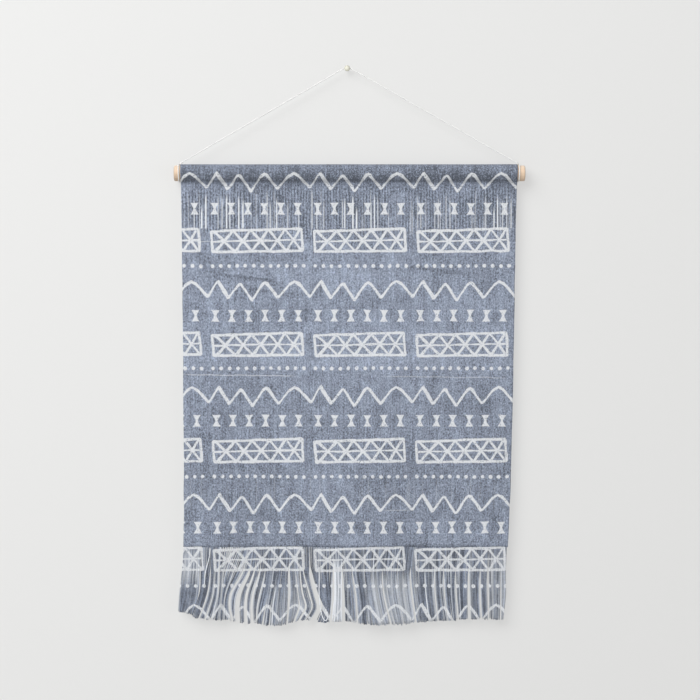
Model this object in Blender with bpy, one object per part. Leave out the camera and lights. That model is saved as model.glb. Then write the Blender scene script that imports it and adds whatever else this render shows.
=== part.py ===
"""Printed cotton wall hanging on a wooden dowel, hung by a cord over a nail.

The origin is the nail's axis at the wall plane. +X runs to the right along the dowel, +Z is up and
the printed face looks along -Y. Every size is in metres unless its name ends in _MM.
"""
import math

import bmesh
import bpy
import numpy as np

MM = 0.001
GAP = 0.3 * MM

# Dowel
DOWEL_LENGTH = 0.450
DOWEL_RADIUS = 0.010
DOWEL_EASE = 0.0018
DOWEL_SIDES = 32
DOWEL_X = 0.003
DOWEL_Y = -0.013
DOWEL_Z = -0.1351

# Cloth panel and its sleeve
CLOTH_THICKNESS = 0.0012
SLEEVE_CLEARANCE = 0.00045
SLEEVE_STEP_DEG = 18
SEAM_Z = -0.1475
HEM_Z = -0.6146
PANEL_DROP = SEAM_Z - HEM_Z
PANEL_COLUMNS = 24
PANEL_ROWS = 20

# The cloth's two side edges: drop below the seam, left edge x, right edge x
EDGES = (
    (0.000, -0.2135, 0.2180),
    (0.100, -0.2119, 0.2155),
    (0.190, -0.2110, 0.2143),
    (0.280, -0.2100, 0.2121),
    (0.370, -0.2096, 0.2102),
    (0.430, -0.2094, 0.2078),
    (0.467, -0.2102, 0.2061),
)

# Soft folds: centre x at the hem, half width, bulge towards the viewer, height reached, lean going up
FOLDS = (
    (-0.172, 0.036, 0.0026, 0.220, 0.000),
    (-0.112, 0.044, -0.0030, 0.420, 0.010),
    (0.034, 0.060, 0.0038, 0.440, 0.050),
    (0.098, 0.036, -0.0024, 0.260, 0.012),
    (0.178, 0.034, 0.0022, 0.300, -0.016),
)

# Fringe
STRIP_HEIGHT = 0.0022
STRAND_WIDTH = 0.0024
STRAND_THICKNESS = 0.0012
STRAND_FILL = 0.80
STRAND_PITCH = 0.0023
STRAND_STEPS = 5
LOCK_HEIGHTS = (0.0, 0.0334, 0.0616, 0.0937)
FRINGE_LEFT_MM = (-209.6, -211.9, -215.2, -217.1)
ROOT_GAP_MM = 0.8
UPPER_OPENING = 0.75
LOCK_SWAY = 0.0013
TIP_UNEVENNESS = 0.0012
LOCK_PHASE = 5.1
STRAND_PHASE = 2.3
SWAY_PHASE = 2.1

# Locks from left to right, in millimetres: x of the parting on the lock's right side at the cloth's
# edge, a third down, two thirds down and at the tips; how far that parting opens; the lock's length
LOCKS_MM = (
    (-188.9, -188.6, -194.2, -196.6, 1.5, 84.5),
    (-174.7, -176.0, -181.8, -190.0, 1.8, 89.5),
    (-169.0, -171.2, -175.4, -179.6, 1.5, 92.5),
    (-143.9, -154.9, -160.8, -164.5, 0.9, 93.5),
    (-133.7, -142.7, -150.9, -147.2, 2.4, 94.5),
    (-125.4, -135.0, -142.3, -140.1, 6.2, 97.5),
    (-119.6, -125.4, -131.1, -129.5, 3.8, 98.5),
    (-111.9, -117.0, -121.9, -121.5, 4.4, 98.5),
    (-104.8, -108.4, -113.8, -116.0, 1.7, 98.0),
    (-99.0, -99.6, -99.8, -100.6, 1.4, 99.5),
    (-72.7, -74.0, -74.2, -76.1, 4.0, 100.0),
    (-67.0, -63.8, -61.1, -68.3, 1.6, 96.0),
    (-61.2, -58.0, -53.4, -62.5, 2.3, 94.5),
    (-55.6, -50.7, -45.4, -54.4, 2.4, 94.0),
    (-47.7, -45.0, -35.8, -39.4, 7.4, 94.5),
    (-18.2, -17.7, -18.0, -20.8, 3.0, 96.5),
    (-8.0, -6.0, -4.9, -4.5, 3.3, 95.5),
    (4.2, 6.5, 11.0, 13.2, 1.8, 95.0),
    (48.5, 44.9, 47.2, 54.9, 2.4, 99.5),
    (84.3, 81.1, 83.4, 87.9, 3.0, 98.0),
    (112.6, 112.1, 113.0, 116.5, 2.0, 95.5),
    (123.9, 123.9, 124.8, 129.1, 1.5, 94.5),
    (140.2, 139.3, 140.0, 142.0, 1.7, 93.5),
    (156.7, 156.0, 156.0, 156.7, 3.8, 92.5),
    (172.1, 170.4, 170.4, 172.1, 2.2, 92.0),
    (181.9, 180.6, 180.9, 181.5, 2.5, 91.5),
    (197.8, 197.3, 197.1, 196.6, 1.8, 92.5),
    (204.6, 203.4, 203.5, 199.9, 0.0, 93.0),
)

# Nail
NAIL_SHANK_RADIUS = 0.00125
NAIL_STANDOFF = 0.0106
NAIL_HEAD_RADIUS = 0.00375
NAIL_RIM = 0.0007
NAIL_DOME = 0.0016
NAIL_SIDES = 24

# Cord
CORD_RADIUS = 0.00075
CORD_LOOP_STEP_DEG = 20
CORD_LOOP_START_DEG = -12
CORD_LOOP_END_DEG = 335
CORD_RUN_POINTS = 14
CORD_Y_AT_NAIL = -0.0094
KNOT_ASIDE = 0.0005
KNOT_BEHIND = 0.0012
KNOT_HEIGHT = 0.0120
KNOT_SWELL = 1.4
LEAVING_HEIGHT = 0.0130
LEAVING_SWELL = 1.1


def clear_scene():
    """Removes every object, so that the file holds this model alone."""
    for item in list(bpy.data.objects):
        bpy.data.objects.remove(item, do_unlink=True)


def make_material(name, colour, roughness, metallic=0.0):
    """A plain Principled BSDF finish."""
    material = bpy.data.materials.new(name)
    material.use_nodes = True
    shader = material.node_tree.nodes["Principled BSDF"]
    shader.inputs["Base Color"].default_value = (*colour, 1.0)
    shader.inputs["Roughness"].default_value = roughness
    shader.inputs["Metallic"].default_value = metallic
    return material


def add_solid(name, points, faces, material, sharp_deg=40):
    """Makes one object from points and faces, with its faces turned outwards."""
    mesh = bpy.data.meshes.new(name)
    mesh.from_pydata([tuple(map(float, point)) for point in points], [], faces)
    shape = bmesh.new()
    shape.from_mesh(mesh)
    bmesh.ops.recalc_face_normals(shape, faces=shape.faces)
    shape.to_mesh(mesh)
    shape.free()
    mesh.shade_smooth()
    mesh.set_sharp_from_angle(angle=math.radians(sharp_deg))
    mesh.materials.append(material)
    solid = bpy.data.objects.new(name, mesh)
    bpy.context.scene.collection.objects.link(solid)
    return solid


def soft_step(amount):
    """Rises smoothly from 0 to 1 as amount does."""
    amount = np.clip(amount, 0.0, 1.0)
    return amount * amount * (3.0 - 2.0 * amount)


def fold_bulge(x, drop):
    """How far the cloth stands towards the viewer at x, drop below the seam: a sum of soft ridges."""
    rise = PANEL_DROP - drop
    bulge = np.zeros_like(x)
    for centre, half_width, depth, reach, lean in FOLDS:
        middle = centre + lean * rise / PANEL_DROP
        bulge += depth * soft_step(1.0 - rise / reach) * np.exp(-((x - middle) / half_width) ** 2)
    return bulge


def edge_x(drop):
    """The cloth's left and right edges, drop below the seam."""
    table = np.array(EDGES)
    left = np.interp(drop, table[:, 0], table[:, 1])
    right = np.interp(drop, table[:, 0], table[:, 2])
    return left, right


def turned_rings(profile, sides):
    """Points of a turned piece about +X: profile holds (along, radius) pairs."""
    angles = np.arange(sides) * 2.0 * math.pi / sides
    rings = []
    for along, radius in profile:
        rings += [(along, radius * math.cos(angle), radius * math.sin(angle)) for angle in angles]
    return rings


def turned_faces(ring_count, sides):
    """Quads between neighbouring rings, and a flat disc at each end."""
    faces = [list(range(sides)), list(range((ring_count - 1) * sides, ring_count * sides))]
    for ring in range(ring_count - 1):
        for side in range(sides):
            across = (side + 1) % sides
            low = ring * sides
            high = low + sides
            faces.append([low + side, low + across, high + across, high + side])
    return faces


def build_dowel(material):
    """A round rod along X with a quarter-round ease at both ends."""
    half = DOWEL_LENGTH / 2
    ease = []
    for angle in np.radians((0, 30, 60, 90)):
        along = half - DOWEL_EASE + DOWEL_EASE * math.cos(angle)
        radius = DOWEL_RADIUS - DOWEL_EASE + DOWEL_EASE * math.sin(angle)
        ease.append((along, radius))
    profile = [(-along, radius) for along, radius in ease] + ease[::-1]
    points = turned_rings(profile, DOWEL_SIDES)
    dowel = add_solid("dowel", points, turned_faces(len(profile), DOWEL_SIDES), material)
    dowel.location = (DOWEL_X, DOWEL_Y, DOWEL_Z)
    return dowel


def build_nail(material):
    """A picture nail: a straight shank cut flat at the wall plane, and a domed round head."""
    head_front = NAIL_STANDOFF + NAIL_RIM
    profile = [(0.0, NAIL_SHANK_RADIUS), (NAIL_STANDOFF, NAIL_SHANK_RADIUS)]
    profile.append((NAIL_STANDOFF, NAIL_HEAD_RADIUS))
    for angle in np.radians((0, 25, 50, 72)):
        along = head_front + NAIL_DOME * math.sin(angle)
        profile.append((along, NAIL_HEAD_RADIUS * math.cos(angle)))
    points = turned_rings(profile, NAIL_SIDES)
    nail = add_solid("nail", points, turned_faces(len(profile), NAIL_SIDES), material)
    nail.rotation_euler = (0.0, 0.0, -math.pi / 2)
    return nail


def sleeve_ring(radius, angles_deg):
    """Depth and height of points round the dowel's axis: 0 degrees is the top and 90 the front."""
    angles = np.radians(angles_deg)
    return DOWEL_Y - radius * np.sin(angles), DOWEL_Z + radius * np.cos(angles)


def build_cloth(material):
    """The panel and its sleeve as one sheet.

    A section across the cloth is an outer loop, up the panel's face, round the sleeve and down the
    panel's back, and an inner loop round the dowel. Both loops are repeated from the left edge to
    the right edge and joined by quads, and each side is closed between them.
    """
    ring_deg = np.arange(180 - SLEEVE_STEP_DEG, -180, -SLEEVE_STEP_DEG)
    inner_deg = np.append(ring_deg, -180)
    inner_radius = DOWEL_RADIUS + SLEEVE_CLEARANCE
    ring_y, ring_z = sleeve_ring(inner_radius + CLOTH_THICKNESS, ring_deg)
    inner_y, inner_z = sleeve_ring(inner_radius, inner_deg)
    drops = np.linspace(0.0, PANEL_DROP, PANEL_ROWS + 1)
    row_left, row_right = edge_x(drops)

    rows = PANEL_ROWS + 1
    ring = len(ring_deg)
    outer = 2 * rows + ring
    section = outer + len(inner_deg)
    points = []
    for across in np.linspace(0.0, 1.0, PANEL_COLUMNS + 1):
        panel_x = row_left + across * (row_right - row_left)
        middle_y = DOWEL_Y - fold_bulge(panel_x, drops)
        face = np.stack([panel_x, middle_y - CLOTH_THICKNESS / 2, SEAM_Z - drops], axis=1)
        back = np.stack([panel_x, middle_y + CLOTH_THICKNESS / 2, SEAM_Z - drops], axis=1)
        sleeve = np.stack([np.full(ring, panel_x[0]), ring_y, ring_z], axis=1)
        lining = np.stack([np.full(ring + 1, panel_x[0]), inner_y, inner_z], axis=1)
        points += [*face[::-1], *sleeve, *back, *lining]

    faces = []
    for column in range(PANEL_COLUMNS):
        here = column * section
        there = here + section
        for index in range(outer):
            follow = (index + 1) % outer
            faces.append([here + index, here + follow, there + follow, there + index])
        for index in range(ring + 1):
            follow = (index + 1) % (ring + 1)
            faces.append([here + outer + index, there + outer + index,
                          there + outer + follow, here + outer + follow])
    for start in (0, PANEL_COLUMNS * section):
        for row in range(PANEL_ROWS):
            face_low = start + row
            back_low = start + outer - 1 - row
            faces.append([face_low, face_low + 1, back_low - 1, back_low])
        for index in range(ring - 1):
            sleeve_point = start + rows + index
            lining_point = start + outer + index
            faces.append([sleeve_point, sleeve_point + 1, lining_point + 1, lining_point])
        seam_face = start + rows - 1
        seam_back = start + rows + ring
        lining_end = start + section - 1
        faces.append([seam_face, seam_face + 1, start + outer, lining_end, lining_end - 1,
                      seam_back - 1, seam_back])
    return add_solid("cloth", points, faces, material, sharp_deg=60)


def parting_x(knots_mm, below):
    """X of a parting at the depths below the cloth's edge: a smooth curve through its four places."""
    table = np.array(knots_mm) * MM
    heights = np.array(LOCK_HEIGHTS)
    slopes = np.gradient(table, heights)
    piece = np.clip(np.searchsorted(heights, below, side="right") - 1, 0, len(heights) - 2)
    span = heights[piece + 1] - heights[piece]
    along = (below - heights[piece]) / span
    rise = along * along * (3.0 - 2.0 * along)
    start_pull = along * (1.0 - along) ** 2 * span * slopes[piece]
    end_pull = along * along * (along - 1.0) * span * slopes[piece + 1]
    return table[piece] * (1.0 - rise) + table[piece + 1] * rise + start_pull + end_pull


def parting_opening(width_mm, below):
    """How far a parting is open at the depths below the cloth's edge."""
    opened = (ROOT_GAP_MM, max(ROOT_GAP_MM, UPPER_OPENING * width_mm), width_mm, width_mm)
    return np.interp(below, LOCK_HEIGHTS, opened) * MM


def fringe_strands():
    """Centre lines and widths of all strands, from left to right, lock by lock."""
    strands = []
    left_knots = FRINGE_LEFT_MM
    left_width = 0.0
    for number, (root, upper, lower, tip, opening, length) in enumerate(LOCKS_MM):
        right_knots = (root, upper, lower, tip)
        below = np.linspace(0.0, 1.0, STRAND_STEPS + 1) * length * MM
        left = parting_x(left_knots, below) + parting_opening(left_width, below) / 2
        right = parting_x(right_knots, below) - parting_opening(opening, below) / 2
        count = max(1, round(float(np.min(right - left)) / STRAND_PITCH))
        for strand in range(count):
            place = (strand + 0.5) / count
            centre = left + place * (right - left)
            width = np.minimum(STRAND_WIDTH, STRAND_FILL * (right - left) / count)
            uneven = TIP_UNEVENNESS * math.sin(LOCK_PHASE * number + STRAND_PHASE * strand)
            sway = LOCK_SWAY * math.sin(SWAY_PHASE * number) * (below / below[-1]) ** 2
            strands.append((centre, width, below * (1.0 + uneven / below[-1]), sway))
        left_knots = right_knots
        left_width = opening
    return strands


def build_fringe(material):
    """A comb: a narrow strip just below the cloth's edge, with four-sided strands drawn down from it."""
    strands = fringe_strands()
    strip_top = HEM_Z - GAP
    strip_low = strip_top - STRIP_HEIGHT
    left_end = FRINGE_LEFT_MM[0] * MM
    right_end = LOCKS_MM[-1][0] * MM
    crossings = [left_end]
    for centre, width, _, _ in strands:
        crossings += [centre[0] - width[0] / 2, centre[0] + width[0] / 2]
    crossings.append(right_end)
    crossings = np.array(crossings)
    middle_y = DOWEL_Y - fold_bulge(crossings, np.full_like(crossings, PANEL_DROP))

    points = []
    for x, y in zip(crossings, middle_y):
        near = y - STRAND_THICKNESS / 2
        far = y + STRAND_THICKNESS / 2
        points += [(x, near, strip_top), (x, far, strip_top), (x, far, strip_low), (x, near, strip_low)]
    last = 4 * (len(crossings) - 1)
    faces = [[0, 1, 2, 3], [last, last + 1, last + 2, last + 3]]
    for place in range(len(crossings) - 1):
        here = 4 * place
        sides = (0, 1, 3) if place % 2 else (0, 1, 2, 3)
        for side in sides:
            follow = (side + 1) % 4
            faces.append([here + side, here + follow, here + 4 + follow, here + 4 + side])

    for number, (centre, width, below, sway) in enumerate(strands):
        root = 4 * (2 * number + 1)
        ring = [root + 3, root + 2, root + 6, root + 7]
        root_y = DOWEL_Y - fold_bulge(centre[:1], np.array([PANEL_DROP]))[0]
        for step in range(1, STRAND_STEPS + 1):
            start = len(points)
            low = strip_low - below[step] + STRIP_HEIGHT
            near = root_y - STRAND_THICKNESS / 2 - sway[step]
            far = root_y + STRAND_THICKNESS / 2 - sway[step]
            left = centre[step] - width[step] / 2
            right = centre[step] + width[step] / 2
            points += [(left, near, low), (left, far, low), (right, far, low), (right, near, low)]
            below_ring = [start, start + 1, start + 2, start + 3]
            for side in range(4):
                follow = (side + 1) % 4
                faces.append([ring[side], ring[follow], below_ring[follow], below_ring[side]])
            ring = below_ring
        faces.append(ring)
    return add_solid("fringe", points, faces, material, sharp_deg=30)


def cord_half(sleeve_end, outward):
    """One half of the cord: from its end, once round the dowel, up to a knot and along to the nail.

    outward is -1 on the left and 1 on the right. Each point is (x, y, z, thickness).
    """
    beside = sleeve_end + outward * (GAP + CORD_RADIUS)
    turn_pitch = 2 * CORD_RADIUS + GAP
    loop_radius = DOWEL_RADIUS + GAP + CORD_RADIUS
    turn_deg = CORD_LOOP_END_DEG - CORD_LOOP_START_DEG
    steps = round(turn_deg / CORD_LOOP_STEP_DEG)
    route = []
    for step in range(steps + 1):
        angle = math.radians(CORD_LOOP_START_DEG + turn_deg * step / steps)
        x = beside + outward * turn_pitch * (1.0 - step / steps)
        y = DOWEL_Y - loop_radius * math.sin(angle)
        z = DOWEL_Z + loop_radius * math.cos(angle)
        route.append((x, y, z, 1.0))
    route.append((beside + outward * KNOT_ASIDE, DOWEL_Y + KNOT_BEHIND, DOWEL_Z + KNOT_HEIGHT, KNOT_SWELL))
    leave = (beside - outward * KNOT_ASIDE, DOWEL_Y, DOWEL_Z + LEAVING_HEIGHT)
    arc_radius = NAIL_SHANK_RADIUS + GAP + CORD_RADIUS
    lean = math.atan2(-leave[2], abs(leave[0]))
    arrive = (outward * arc_radius * math.sin(lean), CORD_Y_AT_NAIL, arc_radius * math.cos(lean))
    for step in range(CORD_RUN_POINTS + 1):
        along = step / CORD_RUN_POINTS
        place = [start + along * (end - start) for start, end in zip(leave, arrive)]
        route.append((*place, LEAVING_SWELL if step == 0 else 1.0))
    return route


def build_cord(material):
    """One cord, tied round the dowel at both ends of the sleeve and laid over the nail's shank."""
    top = (0.0, CORD_Y_AT_NAIL, NAIL_SHANK_RADIUS + GAP + CORD_RADIUS, 1.0)
    _, left_end, right_end = EDGES[0]
    route = cord_half(left_end, -1) + [top] + cord_half(right_end, 1)[::-1]
    curve = bpy.data.curves.new("cord", "CURVE")
    curve.dimensions = "3D"
    curve.bevel_depth = CORD_RADIUS
    curve.bevel_resolution = 2
    curve.use_fill_caps = True
    spline = curve.splines.new("POLY")
    spline.points.add(len(route) - 1)
    for point, (x, y, z, thickness) in zip(spline.points, route):
        point.co = (x, y, z, 1.0)
        point.radius = thickness
    curve.materials.append(material)
    cord = bpy.data.objects.new("cord", curve)
    bpy.context.scene.collection.objects.link(cord)
    return cord


def build_hanging():
    """Builds every piece of the wall hanging."""
    clear_scene()
    printed_cotton = make_material("printed_cotton", (0.24, 0.29, 0.38), 0.92)
    loose_yarn = make_material("loose_yarn", (0.20, 0.24, 0.32), 0.94)
    pale_wood = make_material("pale_wood", (0.76, 0.60, 0.42), 0.55)
    white_cord = make_material("white_cord", (0.88, 0.87, 0.84), 0.85)
    brass = make_material("brass", (0.66, 0.58, 0.38), 0.35, 1.0)
    build_dowel(pale_wood)
    build_cloth(printed_cotton)
    build_fringe(loose_yarn)
    build_cord(white_cord)
    build_nail(brass)


build_hanging()
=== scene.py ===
"""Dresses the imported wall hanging: printed cotton on a dowel, with a fringe, a cord and a nail.

The frame gives the origin at the nail's axis on the wall, +X to the right, +Z up, and the printed
face towards -Y. Sizes are in metres, and in millimetres where a name ends in _MM.
"""
import math
from functools import reduce

import bpy
import numpy as np
from bpy.props import FloatProperty, FloatVectorProperty, IntProperty, PointerProperty
from bpy.types import Operator, Panel, PropertyGroup
from mathutils import Matrix, Vector


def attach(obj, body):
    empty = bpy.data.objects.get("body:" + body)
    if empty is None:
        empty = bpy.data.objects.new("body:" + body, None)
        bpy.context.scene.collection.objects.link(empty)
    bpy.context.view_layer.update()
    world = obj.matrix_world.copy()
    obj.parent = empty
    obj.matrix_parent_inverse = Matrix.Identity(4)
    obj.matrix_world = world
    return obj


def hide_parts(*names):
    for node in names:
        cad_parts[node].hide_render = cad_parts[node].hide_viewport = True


bl_info = {
    "name": "Wall hanging",
    "version": (1, 0, 0),
    "blender": (4, 5, 0),
    "location": "3D View > Sidebar > Hanging",
    "description": "Printed cotton wall hanging on a dowel, with fringe, cord and nail",
    "category": "Object",
}

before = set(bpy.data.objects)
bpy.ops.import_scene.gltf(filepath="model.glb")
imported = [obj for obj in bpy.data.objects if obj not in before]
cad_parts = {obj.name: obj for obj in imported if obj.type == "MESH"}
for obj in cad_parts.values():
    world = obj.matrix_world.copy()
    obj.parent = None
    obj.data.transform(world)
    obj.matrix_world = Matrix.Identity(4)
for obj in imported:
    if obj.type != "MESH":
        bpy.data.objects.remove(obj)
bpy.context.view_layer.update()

MM = 0.001
GAP = 0.3 * MM

# Dowel and cloth, as the frame has them
DOWEL_LENGTH = 0.450
DOWEL_RADIUS = 0.010
DOWEL_EASE = 0.0018
DOWEL_X = 0.003
DOWEL_Y = -0.013
DOWEL_Z = -0.1351
SLEEVE_RADIUS = 0.01105
SEAM_Z = -0.1475
HEM_Z = -0.6146
PANEL_DROP = SEAM_Z - HEM_Z

# The sleeve's section: how far below the seam its straight runs end, where the ring round the dowel
# opens (degrees from the top), how strongly the closing arcs pull, and the flap behind the panel
SLEEVE_EASE = 0.0018
SLEEVE_OPENING_DEG = 162.0
SLEEVE_RING_POINTS = 37
SLEEVE_PULL = 0.0016
FLAP_BEHIND = 0.00130
FLAP_POINTS = 5
SLEEVE_PRINT_STRETCH = 0.155

# Small unevenness of the cloth: its side edges, the panel's ripple and the sleeve's slack
CLOTH_SEED = 11
SIDE_WANDER = 0.00022
PANEL_RIPPLE = 0.00035
SLEEVE_SLACK = 0.00016

# Stitches of the seam
STITCH_PITCH = 0.0042
STITCH_DROP = 0.0046
STITCH_HALF_LENGTH = 0.00145
STITCH_RADIUS = 0.00024
STITCH_BOW = 0.00012
STITCH_POINTS = 7

# The cloth's two side edges: drop below the seam, left edge x, right edge x
EDGES = (
    (0.000, -0.2135, 0.2180),
    (0.100, -0.2119, 0.2155),
    (0.190, -0.2110, 0.2143),
    (0.280, -0.2100, 0.2121),
    (0.370, -0.2096, 0.2102),
    (0.430, -0.2094, 0.2078),
    (0.467, -0.2102, 0.2061),
)

# Soft folds: centre x at the hem, half width, bulge towards the viewer, height reached, lean going up
FOLDS = (
    (-0.172, 0.036, 0.0026, 0.220, 0.000),
    (-0.112, 0.044, -0.0030, 0.420, 0.010),
    (0.034, 0.060, 0.0038, 0.440, 0.050),
    (0.098, 0.036, -0.0024, 0.260, 0.012),
    (0.178, 0.034, 0.0022, 0.300, -0.016),
)

# Patches of lighter or darker dye: x, z, half width, half height, how much lighter
PATCHES_MM = (
    (0.0, -330.0, 400.0, 90.0, 0.070),
    (0.0, -266.0, 400.0, 16.0, 0.075),
    (0.0, -376.0, 400.0, 13.0, 0.150),
    (0.0, -338.0, 400.0, 22.0, 0.060),
    (0.0, -604.0, 400.0, 14.0, 0.050),
    (-60.0, -268.0, 60.0, 22.0, 0.030),
    (10.0, -262.0, 62.0, 24.0, 0.080),
    (150.0, -262.0, 30.0, 26.0, -0.040),
    (205.0, -265.0, 22.0, 40.0, 0.100),
    (-150.0, -300.0, 60.0, 40.0, -0.030),
    (60.0, -400.0, 90.0, 20.0, 0.040),
    (-30.0, -540.0, 26.0, 28.0, 0.060),
    (45.0, -538.0, 46.0, 24.0, -0.070),
    (-150.0, -536.0, 70.0, 24.0, -0.030),
    (-148.0, -606.0, 22.0, 20.0, -0.080),
    (15.0, -604.0, 24.0, 18.0, 0.060),
    (0.0, -470.0, 240.0, 30.0, -0.020),
)

# Painted shade round the sleeve's underside, darkest just above the line where it closes, a narrow
# edge of painted light just below that line, and the panel below a little darker: height on the
# print, how much darker
SLEEVE_SHADE_MM = (
    (-214.0, 0.000), (-206.0, 0.050), (-195.0, 0.135), (-156.5, 0.110), (-151.4, 0.110), (-149.3, 0.060),
    (-148.2, -0.060), (-146.9, -0.080), (-145.8, 0.120), (-144.9, 0.350), (-143.4, 0.470),
    (-141.6, 0.445), (-137.2, 0.390), (-134.2, 0.295), (-131.3, 0.260), (-128.0, 0.200),
    (-124.7, 0.140), (-118.0, 0.060), (-112.0, 0.000),
)

# Undyed warp yarns between the first zigzag and the first row of rectangles: x, how white
UNDYED_MM = (
    (-196.5, 0.55), (-186.8, 0.95), (-181.4, 0.95), (-165.8, 0.45), (-160.6, 0.50), (-154.9, 0.85),
    (-150.9, 0.55), (-139.5, 0.85), (-134.1, 0.85), (-102.9, 0.45), (-98.7, 0.55), (-90.6, 0.90),
    (-76.3, 0.45), (-62.5, 0.55), (-45.2, 0.50), (-39.3, 0.55), (-30.3, 0.45), (-6.2, 0.55),
    (-3.3, 0.90), (6.9, 0.95), (11.8, 0.90), (30.3, 0.55), (34.8, 0.85), (38.9, 0.50), (90.2, 0.45),
    (94.2, 0.50), (112.0, 0.45), (116.5, 0.50), (126.8, 0.45), (131.5, 0.50), (177.3, 0.45),
    (188.0, 0.85), (192.5, 0.90), (199.1, 0.55), (204.5, 0.50), (210.0, 0.60),
)
UNDYED_TOP_MM = -156.0
UNDYED_LOW_MM = -206.6
UNDYED_WIDTH_MM = 1.4
UNDYED_WIDER_MM = 0.4
UNDYED_RAMPS = 3

# Yarns that are pale by chance, and the stretches of the print where they show: top, how much further
# down one can start, foot, fades at the top and at the foot, how strongly it shows
FAINT_FROM = 0.78
FAINT_STRETCHES_MM = (
    (-150.0, -34.0, -216.0, 14.0, 8.0, 1.00),
    (-512.0, -20.0, -572.0, 20.0, 20.0, 0.45),
)

# Broad stripes along the warp, strongest in one band of the print
STRIPE_MM = 3.86
STRIPED_TOP_MM = -140.0
STRIPED_FOOT_MM = -222.0

# Uneven dye: rows and yarns that one cloud or streak covers, and how strong it is
DYE_CLOUDS = (((6, 16), 0.042), ((2.5, 6), 0.030), ((14, 1), 0.085), ((3, 1), 0.070))

# How much of the print shows on the reverse, and the height above which loose yarns carry it dimmer
SEEN_THROUGH = 0.24
DIMMER_ABOVE_MM = -664.0

# Bare weft yarns: x from, x to, height, how white
WEFT_LINES_MM = (
    (-214.0, -64.0, -394.2, 0.52),
    (44.0, 206.0, -396.6, 0.34),
    (-214.0, -168.0, -222.6, 0.50),
    (42.0, 86.0, -567.2, 0.40),
)

# Loose wrinkles pressed into the cloth: places (x, z) along each one, its half width, its depth,
# which also sets the shade painted along it
WRINKLES_MM = (
    (((-165.0, -266.5), (-127.0, -270.5), (-84.0, -275.8)), 3.4, 1.30),
    (((72.0, -254.5), (118.0, -262.0), (166.0, -267.5)), 3.6, 1.10),
    (((-140.0, -284.0), (-100.0, -288.0), (-55.0, -294.0)), 4.4, 0.70),
)

# The printed bands. Heights of each band's middle, or of the zigzag's upper tips, from row to row
ROW_TOPS_MM = (-128.4, -269.0, -403.8, -542.5, -683.3)
ZIGZAG_MM = (7.2, -133.2, -272.9, -408.5, -546.4, -687.6)
HOURGLASS_MM = (-40.0, -180.6, -317.8, -452.5, -589.5, -730.0)
LATTICE_MM = (-81.0, -221.6, -355.0, -491.3, -630.4, -770.0)
DOTS_MM = (-113.0, -254.0, -385.3, -524.2, -664.3, -805.0)
REPEAT_MM = 132.4
REPEAT_START_MM = -175.8
REPEAT_EARLY_MM = 3.0
PRINT_MIDDLE_MM = 3.6
PRINT_NARROWING = 0.024
PRINT_NARROWING_FROM_MM = -180.0
PRINT_NARROWING_DROP_MM = 460.0

# Zigzag: place across the repeat, depth below the upper tips, how far the turn is rounded to each
# side, and the width of the stroke that follows
ZIGZAG_TURNS_MM = (
    (-25.0, -3.1, 7.0, 2.9),
    (-4.1, 20.9, 1.6, 2.2),
    (8.6, 0.6, 1.3, 4.2),
    (22.8, 22.3, 1.6, 2.2),
    (37.7, 2.3, 2.6, 2.8),
    (52.7, 25.4, 1.4, 2.4),
    (69.8, -0.6, 4.0, 3.1),
    (86.6, 22.0, 1.6, 2.3),
    (107.1, -3.1, 7.0, 2.9),
    (128.3, 20.9, 1.6, 2.2),
    (140.9, 0.6, 1.3, 4.2),
)
ZIGZAG_HIGHEST_MM = -5.0
ZIGZAG_DEEPEST_MM = 30.0
ZIGZAG_WIDEST_MM = 6.0

# Lattice rectangle
LATTICE_WIDTH_MM = 119.3
LATTICE_HALF_HEIGHT_MM = 14.75
LATTICE_GROWTH = 0.0088
LATTICE_TILT = 0.0205
LATTICE_LEAN = 0.066
LATTICE_CORNER_MM = 2.8
LATTICE_FRAME_MM = 3.1
LATTICE_MIDLINE_MM = 2.0
LATTICE_DIAGONAL_MM = 2.9
LATTICE_CELLS_MM = (5.05, 30.5, 52.3, 75.0, 96.5, 116.3)

# Hourglasses and dots
HOURGLASS_FIRST_MM = 5.5
HOURGLASS_STEP_MM = 21.38
HOURGLASS_COUNT = 6
HOURGLASS_HALF_HEIGHT_MM = 7.3
HOURGLASS_WAIST_MM = 1.35
HOURGLASS_END_MM = 5.1
DOT_FIRST_MM = 2.2
DOT_STEP_MM = 10.67
DOT_COUNT = 12
DOT_RADIUS_MM = 2.33

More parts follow.
